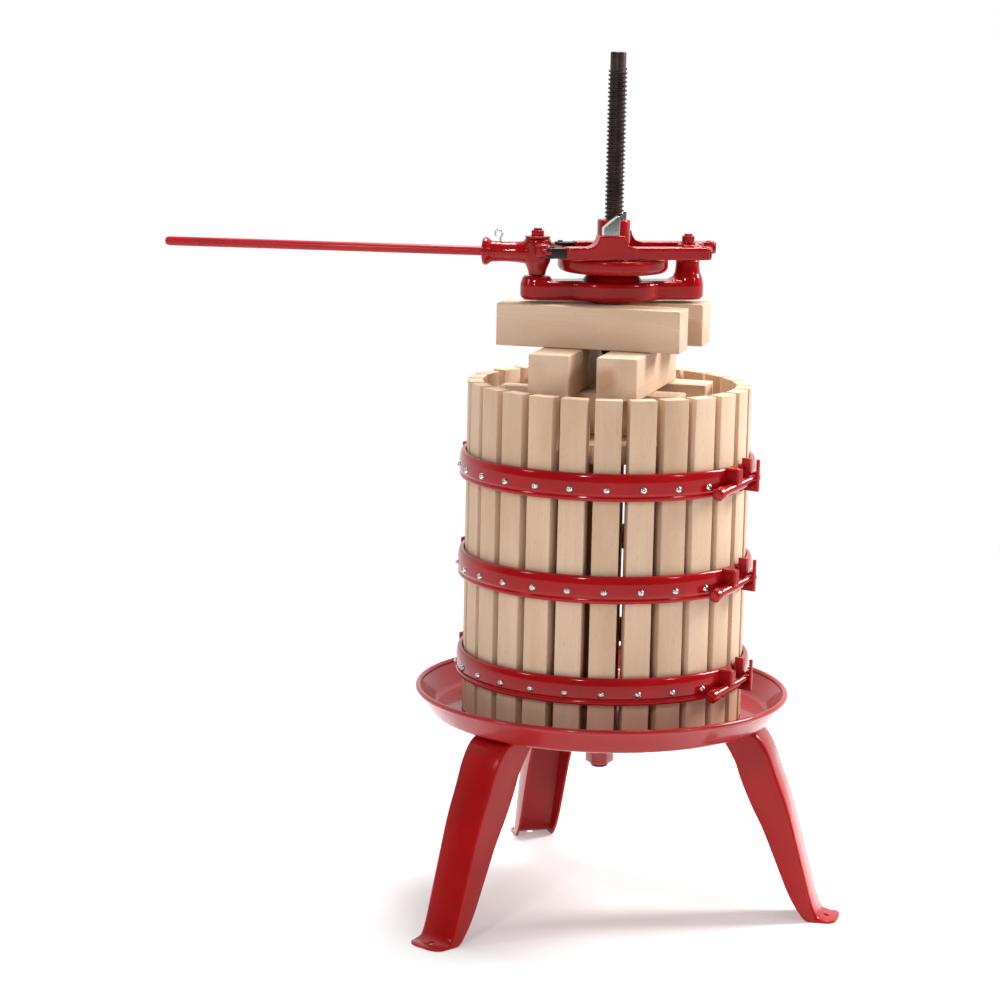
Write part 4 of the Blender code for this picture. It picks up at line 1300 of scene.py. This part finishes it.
    def front_fittings(self, line: float) -> list[bpy.types.Object]:
        """The bolt's barrel on its saddle, the front lug and the hidden side's hook."""
        size = self.size
        aim = self.bolt_matrix(line)
        hidden = size.split - 180.0
        near, far = size.barrel
        barrel = moved(revolved("barrel", rounded([
            (0.0, near), (0.0060, near), (0.0060, far), (0.0, far)], 0.0010), 40), aim)
        saddle = self.tab(48.2, size.hoop_outer_r - 0.0015, size.bolt_r + 0.0030, line - 0.0145,
                          line - 0.0020, 0.0150, 0.0, 0.0015)
        lug = self.tab(size.bolt_azimuth, size.hoop_outer_r - 0.0050, size.lug_reach, line - 0.0020,
                       line + 0.0165, 0.0100, size.front_lug, 0.0020)
        bore = rod("bore", size.bolt_shank + 0.0005, -0.05, 0.05)
        bearing = cut(cast("bearing", [barrel, saddle, lug], FINE_GRAIN, 2), [moved(bore, aim)])
        arm = self.tab(hidden + 3.4, size.hoop_outer_r - 0.0030, size.hook_reach, line + 0.0010,
                       line + 0.0110, 0.0090)
        reach = rounded_box("reach", (-0.0165, -size.hook_reach, line + 0.0010),
                            (-0.0002, -0.1800, line + 0.0110), 0.0012)
        moved(reach, turned(hidden + 3.4))
        pin = rod("pin", 0.0038, line - 0.0130, line + 0.0060, polar(hidden, size.hook_r).xy, 0.0008)
        return [bearing, cast("hook", [arm, reach, pin], FINE_GRAIN, 1)]

    def rear_fittings(self, line: float) -> list[bpy.types.Object]:
        """The slotted lug that the bolt drops into, and the hidden side's eye."""
        size = self.size
        hidden = size.split - 180.0
        lug = self.tab(size.bolt_azimuth, size.hoop_outer_r - 0.0080, size.lug_reach, line - 0.0150,
                       line + 0.0230, 0.0040, size.rear_lug)
        seat = self.bolt_matrix(line) @ Vector((0.0, 0.0, size.rear_lug))
        slot = rounded_box("slot", (-0.0060, -0.0043, 0.0), (0.0060, 0.0043, 0.0500))
        moved(slot, Matrix.Translation(seat + Vector((0.0, 0.0, -0.0048))) @ turned(size.bolt_azimuth))
        centre = polar(hidden, size.hook_r)
        eye = rod("eye", 0.0085, line - 0.0120, line - 0.0004, centre.xy, 0.0010)
        strap = self.tab(hidden - 2.9, size.hoop_outer_r - 0.0030, size.lug_reach, line - 0.0120,
                         line - 0.0004, 0.0110)
        bore = rod("bore", 0.0046, line - 0.02, line + 0.02, centre.xy)
        ring = cut(cast("ring", [eye, strap], FINE_GRAIN, 1), [bore])
        return [cut(lug, [slot]), ring]

    def draw_bolt(self, level: str, line: float) -> bpy.types.Object:
        """A draw bolt with a flat head and a domed knob."""
        (low, high), shank = self.size.bolt_reach, self.size.bolt_shank
        profile = rounded([
            (0.0, high), (0.0046, high - 0.0002), (0.0062, high - 0.0012), (0.0062, high - 0.0035),
            (shank, high - 0.0035), (shank, low + 0.0130), (0.0072, low + 0.0130), (0.0080, low + 0.0110),
            (0.0078, low + 0.0040), (0.0058, low + 0.0012), (0.0, low)], 0.0005, 3)
        return moved(revolved(f"draw_bolt_turned_{level}", profile, 48), self.bolt_matrix(line))


# ================================================================ timber under the head
@dataclass(frozen=True)
class BlockSize:
    """Sizes of the pressing blocks and boards, in metres and degrees."""

    top: float = 0.7305
    height: float = 0.0495
    width: float = 0.0480
    length: float = 0.2200
    turn: float = -12.9
    rows: tuple[float, float, float] = (-0.0700, 0.0170, 0.0480)        # fronts of the lengthwise beams
    ends: tuple[float, float, float] = (-0.1225, -0.1130, -0.1335)      # the last one's is its front
    left_edge: float = -0.0660
    right_edge: float = 0.0625
    knot: tuple[float, float, float] = (0.0240, -0.1335, 0.6560)
    edge: float = 0.0017
    board_r: float = 0.1460
    board_thick: float = 0.0220
    notch_r: float = 0.0150
    slack: float = 0.0010


class PressingBlocks:
    """A stack of loose beams on two half-moon boards."""

    def __init__(self, size: BlockSize, finishes: Finishes) -> None:
        """Keep the sizes and finishes."""
        self.size = size
        self.finishes = finishes

    def build(self) -> None:
        """Build and dress the beams and the boards."""
        size = self.size
        width = size.width
        near, far, farthest = [(start, start + width) for start in size.rows]
        shifted, centred, crosswise = [(start, start + size.length) for start in size.ends]
        along, across = self.finishes.along, self.finishes.across
        beams = [
            ("block_top_front", 0, shifted, near, along), ("block_top_back", 0, centred, far, along),
            ("block_middle_left", 1, (size.left_edge, size.left_edge + width), crosswise, across),
            ("block_middle_right", 1, (size.right_edge - width, size.right_edge), crosswise,
             self.finishes.knotted),
            ("block_bottom_front", 2, shifted, near, along),
            ("block_bottom_back", 2, centred, farthest, along)]
        for node, layer, x_range, y_range, finish in beams:
            top = size.top - layer * (size.height + CLEARANCE)
            beam = rounded_box(f"{node}_beam", (x_range[0], y_range[0], top - size.height),
                               (x_range[1], y_range[1], top), size.edge, 4)
            dress(moved(beam, turned(size.turn)), finish, "pressing_blocks", [node])
        for node, turn in (("board_right", 0.0), ("board_left", 180.0)):
            dress(self.board(f"{node}_panel", turn), across, "pressing_blocks", [node])

    def board(self, name: str, turn: float) -> bpy.types.Object:
        """A half-moon board with a notch for the spindle."""
        size = self.size
        top = size.top - 3 * (size.height + CLEARANCE)
        rim = 90 - acos(size.slack / size.board_r) * 180 / pi
        notch = 90 - acos(size.slack / size.notch_r) * 180 / pi
        outline = (arc((0, 0), size.board_r, -90 + rim, 90 - rim, 72)
                   + arc((0, 0), size.notch_r, 90 - notch, -90 + notch, 20))
        panel = prism(name, outline, top - size.board_thick, top, 0.0012, 2)
        return moved(panel, turned(size.turn + turn))


# ================================================================ ratchet head
@dataclass(frozen=True)
class HeadSize:
    """Sizes of the ratchet head, in metres and degrees."""

    turn: float = 14.0
    swing: float = -19.0
    post_reach: float = 0.0915
    ear_along: float = 0.0220
    ear_across: float = 0.0440
    ear_r: float = 0.0068
    ear_z: tuple[float, float] = (0.7900, 0.7952)
    foot_z: float = 0.7309
    bar_z: tuple[float, float] = (0.7345, 0.7570)
    bar_half: float = 0.0195
    swell: tuple[float, float] = (0.0580, 0.0385)
    flange_r: float = 0.0655
    flange_z: tuple[float, float] = (0.7660, 0.7840)
    hub_r: float = 0.0195
    hub_top: float = 0.8285
    bore_r: float = 0.0118
    pocket_count: int = 12
    pocket_at: float = 0.0440
    arm_z: tuple[float, float] = (0.7853, 0.8000)
    arm_half: float = 0.0090
    boss_top: float = 0.8135
    pin_r: float = 0.0031
    bolt_r: float = 0.0050
    post_nut_r: float = 0.0084
    lever_seat: tuple[float, float] = (0.8060, 0.0150)      # height and washer's radius
    rocker_seat: tuple[float, float] = (0.8000, 0.0090)
    window: tuple[float, float] = (0.0098, 0.0064)
    pocket: tuple[float, float, float] = (0.0075, 0.00625, 0.0060)
    handle_z: float = 0.7890
    handle_r: float = 0.0055
    handle_reach: float = 0.4470
    socket_reach: float = 0.0640
    clip_at: float = 0.0440
    clip_wire_r: float = 0.0012

    def ear_offset(self, side: int) -> Point2:
        """From a post to the pin of the front (-1) or back (+1) arm at rest, in the head's frame."""
        swing = radians(self.swing)
        return (self.ear_along * cos(swing) - side * self.ear_across * sin(swing),
                self.ear_along * sin(swing) + side * self.ear_across * cos(swing))


class RatchetHead:
    """The yoke on the blocks, the nut on the spindle and the lever with its two pawl arms."""

    def __init__(self, size: HeadSize, finishes: Finishes) -> None:
        """Keep the sizes and finishes, and work out the head's frames."""
        self.size = size
        self.finishes = finishes
        self.head = turned(size.turn)
        swing = turned(size.swing)
        self.lever = self.head @ shift(-size.post_reach) @ swing
        self.rocker = self.head @ shift(size.post_reach) @ swing
        self.bar_aim = shift(z=size.handle_z) @ Matrix.Rotation(radians(-90), 4, "Y")

    def build(self) -> None:
        """Build and dress every piece of the head."""
        finishes = self.finishes
        casting = finishes.casting
        dress(self.yoke(), casting, "yoke", ["yoke"])
        dress(self.nut(), casting, "nut", ["ratchet_nut"])
        dress(self.lever_casting(), casting, "lever", ["lever"])
        dress(self.handle(), finishes.bar, "lever", ["handle_bar"])
        dress(self.clip(), finishes.zinc, "lever", ["handle_clip"])
        dress(self.rocker_casting(), casting, "rocker", ["rocker"])
        for node, side, seat in (("pivot_bolt_lever", -1, self.size.lever_seat),
                                 ("pivot_bolt_rocker", 1, self.size.rocker_seat)):
            dress(self.post_bolt(node, side, *seat), casting, "yoke", [node])
        for name, side in (("front", -1), ("back", 1)):
            dress(self.arm(name, side), casting, f"arm_{name}", [f"arm_{name}"])
            # The link wears the near-black finish, which is painted shade for the gap between the lever and
            # the arm.
            dress(self.arm_link(name, side), finishes.link, f"arm_{name}")
            dress(self.pawl(name, side), finishes.zinc, f"pawl_{name}", [f"pawl_{name}"])

    def yoke(self) -> bpy.types.Object:
        """The cast yoke: a bar between two posts with a domed thrust boss in the middle."""
        size = self.size
        thrust, foot, reach = size.flange_z[0] - CLEARANCE, size.foot_z, size.post_reach
        low, high = size.bar_z
        bar = prism("bar", stadium((-reach, 0), (reach, 0), size.bar_half), low, high, 0.0050)
        oval = [(size.swell[0] * x, size.swell[1] * y) for x, y in arc((0, 0), 1.0, 0, 356, 89)]
        swell = prism("swell", oval, low - 0.0006, high - 0.0006, 0.0045)
        boss = revolved("boss", rounded([
            (0.0, thrust), (0.0250, thrust), (0.0325, thrust - 0.0040), (0.0352, 0.7562), (0.0352, 0.7372),
            (0.0346, foot + 0.0016), (0.0310, foot), (0.0, foot)], 0.0020), 96)
        left = revolved("left", rounded([
            (0.0, 0.7622), (0.0150, 0.7622), (0.0176, 0.7590), (0.0192, 0.7480), (0.0190, 0.7400),
            (0.0, 0.7400)], 0.0016), 64)
        right = revolved("right", rounded([
            (0.0, 0.7814), (0.0140, 0.7814), (0.0144, 0.7720), (0.0152, 0.7660), (0.0176, 0.7610),
            (0.0192, 0.7540), (0.0192, 0.7470), (0.0190, 0.7400), (0.0, 0.7400)], 0.0016), 64)
        moved(left, shift(-reach))
        moved(right, shift(reach))
        fillet = prism("fillet", [(0.0, -0.0), (-0.0260, 0.0), (-0.0120, 0.0016), (-0.0050, 0.0058),
                                  (-0.0010, 0.0130), (0.0, 0.0200)], -0.0105, 0.0105)
        moved(fillet, shift(reach - 0.0100, 0.0, high - 0.0015) @ UPENDED)
        casting = cast("yoke_casting", [bar, swell, boss, left, right, fillet], COARSE_GRAIN, 7)
        holes = [rod("hole", size.bolt_r + CLEARANCE, 0.70, 0.82, (side * reach, 0)) for side in (-1, 1)]
        return moved(cut(casting, [rod("bore", size.bore_r + 0.0014, 0.70, 0.82), *holes], 40), self.head)

    def nut(self) -> bpy.types.Object:
        """The ratchet nut: a round-edged disc with pockets about a hub."""
        size = self.size
        low, top = size.flange_z
        profile = rounded([
            (size.bore_r, low), (size.bore_r, size.hub_top), (size.hub_r, size.hub_top),
            (size.hub_r, top), (size.flange_r - 0.0001, top), (size.flange_r, low + 0.0065),
            (size.flange_r - 0.0035, low + 0.0018), (size.flange_r - 0.0120, low)],
            [0.0, 0.0008, 0.0022, 0.0050, 0.0036, 0.0025, 0.0030, 0.0040], 6, True)
        nut = revolved("ratchet_nut_casting", profile, 160, closed=True)
        along, across, deep = size.pocket
        pockets = []
        for k in range(size.pocket_count):
            pocket = rounded_box("pocket", (-along, -across, top - deep), (along, across, top + 0.01),
                                 0.0012, 2)
            pockets.append(moved(pocket, turned(360 * (k + 0.5) / size.pocket_count)
                                 @ shift(size.pocket_at)))
        return moved(cut(nut, pockets), self.head)

    def ears(self) -> list[bpy.types.Object]:
        """The two ears of a lever casting, with the gussets that carry them."""
        size = self.size
        solids = []
        for side in (-1, 1):
            pin = (size.ear_along, side * size.ear_across)
            solids.append(prism("ear", stadium((0.004, side * 0.006), pin, size.ear_r), *size.ear_z, 0.0008))
            solids.append(prism("gusset", stadium((0.0, 0.0), (0.0085, side * 0.0180), 0.0092),
                                size.ear_z[0] - 0.0045, size.ear_z[1] + 0.0050, 0.0025))
        return solids

    def ear_bores(self) -> list[bpy.types.Object]:
        """Cutters for the ears' pin holes."""
        size = self.size
        return [rod("bore", size.pin_r + CLEARANCE, 0.77, 0.82, (size.ear_along, side * size.ear_across))
                for side in (-1, 1)]

    def lever_casting(self) -> bpy.types.Object:
        """The lever: a barrel on the post, two ears and the handle's socket."""
        size = self.size
        top, reach = size.lever_seat[0], size.socket_reach
        barrel = revolved("barrel", rounded([
            (0.0, top), (0.0146, top), (0.0160, 0.8030), (0.0162, 0.7860), (0.0152, 0.7785),
            (0.0112, 0.7690), (0.0100, 0.7640), (0.0100, 0.7625), (0.0, 0.7625)], 0.0020), 80)
        tube = moved(revolved("tube", rounded([
            (0.0, reach + 0.0010), (0.0148, reach + 0.0010), (0.0167, reach - 0.0012),
            (0.0164, reach - 0.0050), (0.0124, reach - 0.0095), (0.0116, reach - 0.0250),
            (0.0122, 0.0230), (0.0136, 0.0130), (0.0140, 0.0040), (0.0, 0.0040)], 0.0022), 80),
            self.bar_aim)
        casting = cast("lever_casting", [barrel, tube, *self.ears()], CASTING_GRAIN, 4)
        handle = moved(rod("hole", size.handle_r + CLEARANCE, 0.0190, 0.08), self.bar_aim)
        clip = rod("hole", 0.0020, size.handle_z, 0.82, (-size.clip_at, 0))
        post = rod("hole", size.bolt_r + CLEARANCE, 0.74, 0.83)
        return moved(cut(casting, [handle, clip, post, *self.ear_bores()], 40), self.lever)

    def rocker_casting(self) -> bpy.types.Object:
        """The rocker: the lever's counterpart on the other post."""
        size = self.size
        top = size.rocker_seat[0]
        barrel = revolved("barrel", rounded([
            (0.0, top), (0.0126, top), (0.0128, 0.7850), (0.0118, 0.7818), (0.0, 0.7818)], 0.0016), 72)
        casting = cast("rocker_casting", [barrel, *self.ears()], CASTING_GRAIN, 4)
        post = rod("hole", size.bolt_r + CLEARANCE, 0.74, 0.83)
        return moved(cut(casting, [post, *self.ear_bores()], 40), self.rocker)

    def arm(self, name: str, side: int) -> bpy.types.Object:
        """An arm between the two castings' ears.

        Args:
            name: "front" or "back".
            side: -1 for the front arm and 1 for the back one.

        Returns:
            The forked arm with the flared boss that guides its pawl.
        """
        size = self.size
        along, across = size.ear_offset(side)
        left, right = -size.post_reach + along, size.post_reach + along
        middle = along - size.ear_along
        low, high = size.arm_z
        bar = prism("bar", stadium((left + 0.0225, across), (right, across), size.arm_half), low, high,
                    0.0022)
        flare = prism("flare", rounded([
            (-0.0300, low), (0.0300, low), (0.0300, high - 0.0012), (0.0195, high + 0.0022),
            (0.0156, size.boss_top - 0.0040), (0.0154, size.boss_top), (-0.0154, size.boss_top),
            (-0.0156, size.boss_top - 0.0040), (-0.0195, high + 0.0022), (-0.0300, high - 0.0012)],
            [0, 0, 0.0010, 0.0040, 0.0030, 0.0008, 0.0008, 0.0030, 0.0040, 0.0010], 4, True),
            -0.0101, 0.0101, 0.0016)
        moved(flare, shift(middle, across) @ UPENDED)
        casting = cast(f"arm_{name}_bar", [bar, flare], CASTING_GRAIN, 4)
        half_x, half_y = size.window
        window = rounded_box("window", (middle - half_x, across - half_y, 0.78),
                             (middle + half_x, across + half_y, 0.83))
        fork = self.fork_slot(side, right - 0.0240, right + size.ear_r + CLEARANCE)
        casting = cut(casting, [fork, window], 40)
        pin = rod("pin", size.pin_r, low + 0.0010, high + 0.0008, (right, across), 0.0006)
        return moved(joined(f"arm_{name}_casting", [casting, pin]), self.head)

    def fork_slot(self, side: int, start: float, end: float) -> bpy.types.Object:
        """A cutter that opens an arm's end from the inner side for the ear that it holds."""
        size = self.size
        across = size.ear_offset(side)[1]
        walls = sorted((across + side * (size.ear_r + CLEARANCE), across - side * 0.0200))
        return rounded_box("slot", (start, walls[0], size.ear_z[0] - CLEARANCE),
                           (end, walls[1], size.ear_z[1] + CLEARANCE))

    def arm_link(self, name: str, side: int) -> bpy.types.Object:
        """The forked link at an arm's left end, with its pin: a real joint piece whose near-black finish is
        painted shade for the dark gap by the lever.
        """
        size = self.size
        along, across = size.ear_offset(side)
        left, top = along - size.post_reach, size.arm_z[1]
        link = prism("link", stadium((left, across), (left + 0.0125, across), 0.0075), size.arm_z[0] + 0.0016,
                     top - 0.0010, 0.0012)
        link = cut(link, [self.fork_slot(side, left - 0.0200, left + 0.0130)], 40)
        pin = rod("pin", size.pin_r, size.arm_z[0] + 0.0010, top + 0.0008, (left, across), 0.0006)
        return moved(joined(f"arm_{name}_link", [link, pin]), self.head)

    def pawl(self, name: str, side: int) -> bpy.types.Object:
        """A wedge-topped pawl that stands in an arm's window."""
        size = self.size
        along, across = size.ear_offset(side)
        foot, low, high = size.flange_z[1] + 0.0005, 0.8225, 0.8360
        outline = [(-0.0094, foot), (0.0094, foot), (0.0094, high), (0.0070, high), (-0.0094, low)]
        wedge = prism(f"pawl_{name}_wedge", outline, -0.0060, 0.0060, 0.0006)
        moved(wedge, UPENDED)
        return moved(wedge, self.head @ shift(along - size.ear_along, across))

    def post_bolt(self, node: str, side: int, seat: float, cap_r: float) -> bpy.types.Object:
        """A bolt up through a post.

        Args:
            node: The frame node's name, which the piece's name repeats.
            side: -1 for the lever's post and 1 for the rocker's.
            seat: The height of the casting's top under the washer.
            cap_r: The washer's radius.

        Returns:
            The bolt with its washer and hexagonal nut.
        """
        size = self.size
        bolt_r = size.bolt_r
        shank = revolved("shank", rounded([
            (0.0, seat + 0.0120), (bolt_r, seat + 0.0120), (bolt_r, 0.7375), (0.0, 0.7375)], 0.0010), 40)
        washer = revolved("washer", rounded([
            (bolt_r, seat + CLEARANCE), (cap_r, seat + CLEARANCE), (cap_r, seat + 0.0026),
            (bolt_r, seat + 0.0030)], [0, 0.0006, 0.0010, 0], 4, True), 64, closed=True)
        nut = prism("nut", hexagon(size.post_nut_r, 0.2), seat + 0.0026, seat + 0.0094, 0.0008)
        bolt = joined(f"{node}_assembly", [shank, washer, nut])
        return moved(bolt, self.head @ shift(side * size.post_reach))

    def handle(self) -> bpy.types.Object:
        """The long handle bar with its rounded end."""
        size = self.size
        tip = size.handle_reach
        profile = rounded([(0.0, tip), (0.0040, tip - 0.0002), (size.handle_r, tip - 0.0040),
                           (size.handle_r, 0.0205), (0.0, 0.0205)], 0.0020, 6)
        bar = moved(revolved("handle_rod", profile, 48), self.bar_aim)
        hole = rod("hole", 0.0020, size.handle_z, 0.82, (-size.clip_at, 0))
        return moved(cut(bar, [hole]), self.lever)

    def clip(self) -> bpy.types.Object:
        """A bent wire clip through the socket: a straight leg and an open loop on top."""
        size = self.size
        loop_r, top = 0.0042, 0.8050
        points = [(-size.clip_at, 0.0, size.handle_z + 0.0012), (-size.clip_at, 0.0, top - 0.0020)]
        for k in range(23):
            angle = radians(-60 + 13 * k)
            points.append((-size.clip_at + loop_r * cos(angle) - 0.0021, 0.0,
                           top + 0.0052 + loop_r * sin(angle)))
        return moved(wire("handle_clip_wire", points, size.clip_wire_r), self.lever)


# ================================================================ studio
@dataclass(frozen=True)
class Softbox:
    """A large soft light that faces a target."""

    name: str
    place: tuple[float, float, float]
    aim: tuple[float, float, float]
    size: tuple[float, float]
    energy: float
    colour: tuple[float, float, float] = (1.0, 1.0, 1.0)

    def build(self) -> None:
        """Make the light."""
        lamp = bpy.data.lights.new(self.name, "AREA")
        lamp.shape = "RECTANGLE"
        lamp.size, lamp.size_y = self.size
        lamp.energy = self.energy
        lamp.color = self.colour
        obj = placed(self.name, lamp)
        obj.location = self.place
        obj.rotation_euler = (Vector(self.aim) - Vector(self.place)).to_track_quat("-Z", "Y").to_euler()


@dataclass(frozen=True)
class Studio:
    """The camera, the lights, the bright surroundings and the pale floor."""

    floor: bpy.types.Material
    lens: float = 104.95
    sensor: float = 36.0
    eye: tuple[float, float, float] = (0.119808, -3.472030, 1.0917)
    across: tuple[float, float, float] = (0.998967, 0.040596, 0.020685)
    up: tuple[float, float, float] = (-0.027355, 0.171308, 0.984842)
    surround: float = 0.42
    mirrored: tuple[float, float] = (0.06, 0.90)            # in front and behind
    turns_bright: tuple[float, float] = (-0.10, 0.45)
    floor_r: float = 30.0
    floor_drop: float = 0.0004
    lights: tuple[Softbox, ...] = (
        Softbox("key", (2.2, 0.6, 1.9), (0.1, 0.0, 0.6), (0.6, 0.9), 80.0, (1.0, 0.985, 0.96)),
        Softbox("top", (0.2, 0.6, 2.6), (0.1, 0.0, 0.7), (1.0, 0.8), 72.0),
        Softbox("front", (-0.9, -3.2, 2.2), (0.1, 0.0, 0.5), (0.3, 0.3), 25.0),
        Softbox("left gleam", (-2.4, -1.2, 1.9), (0.1, 0.0, 0.5), (0.35, 0.5), 9.0),
        Softbox("right gleam", (2.4, -1.4, 1.9), (0.1, 0.0, 0.5), (0.35, 0.5), 9.0),
    )

    def build(self) -> None:
        """Set up the studio."""
        scene = bpy.context.scene
        scene.view_settings.view_transform = "Standard"
        world = bpy.data.worlds.new("surroundings")
        world.use_nodes = True
        graph = Graph(world.node_tree)
        background = graph.nodes["Background"]
        background.inputs["Color"].default_value = (1.0, 1.0, 1.0, 1.0)
        path = graph.node("ShaderNodeLightPath")
        heading = graph.node("ShaderNodeSeparateXYZ")
        graph.link(graph.node("ShaderNodeTexCoord").outputs["Generated"], heading.inputs["Vector"])
        mirrored = graph.span(heading.outputs["Y"], *self.mirrored, *self.turns_bright)
        unseen = graph.span(path.outputs["Is Glossy Ray"], self.surround, mirrored)
        graph.link(graph.span(path.outputs["Is Camera Ray"], unseen, 1.0), background.inputs["Strength"])
        scene.world = world
        for light in self.lights:
            light.build()
        placed("floor", self.ground_mesh())
        self.build_camera()

    def ground_mesh(self) -> bpy.types.Mesh:
        """A round floor just below the feet."""
        bm = bmesh.new()
        bmesh.ops.create_circle(bm, cap_ends=True, radius=self.floor_r, segments=96)
        bmesh.ops.translate(bm, vec=(0.0, 0.0, -self.floor_drop), verts=bm.verts)
        mesh = bpy.data.meshes.new("floor")
        bm.to_mesh(mesh)
        bm.free()
        mesh.materials.append(self.floor)
        return mesh

    def build_camera(self) -> None:
        """Make the camera and set it as the scene's."""
        lens = bpy.data.cameras.new("camera")
        lens.lens = self.lens
        lens.sensor_width = self.sensor
        lens.clip_end = 100.0
        across, up = Vector(self.across), Vector(self.up)
        camera = placed("camera", lens)
        rotation = Matrix((across, up, across.cross(up))).transposed().to_4x4()
        camera.matrix_world = Matrix.Translation(self.eye) @ rotation
        bpy.context.scene.camera = camera


def main() -> None:
    """Build the whole press and its studio."""
    logging.basicConfig(level=logging.INFO, format="%(levelname)s %(message)s")
    blocks = BlockSize()
    knot = TO_WORLD @ turned(blocks.turn) @ Vector(blocks.knot)
    finishes = Finishes(blocks.turn, knot)
    Stand(StandSize(), finishes).build()
    Basket(BasketSize(), finishes).build()
    PressingBlocks(blocks, finishes).build()
    RatchetHead(HeadSize(), finishes).build()
    Studio(finishes.floor).build()


if __name__ == "__main__":
    main()
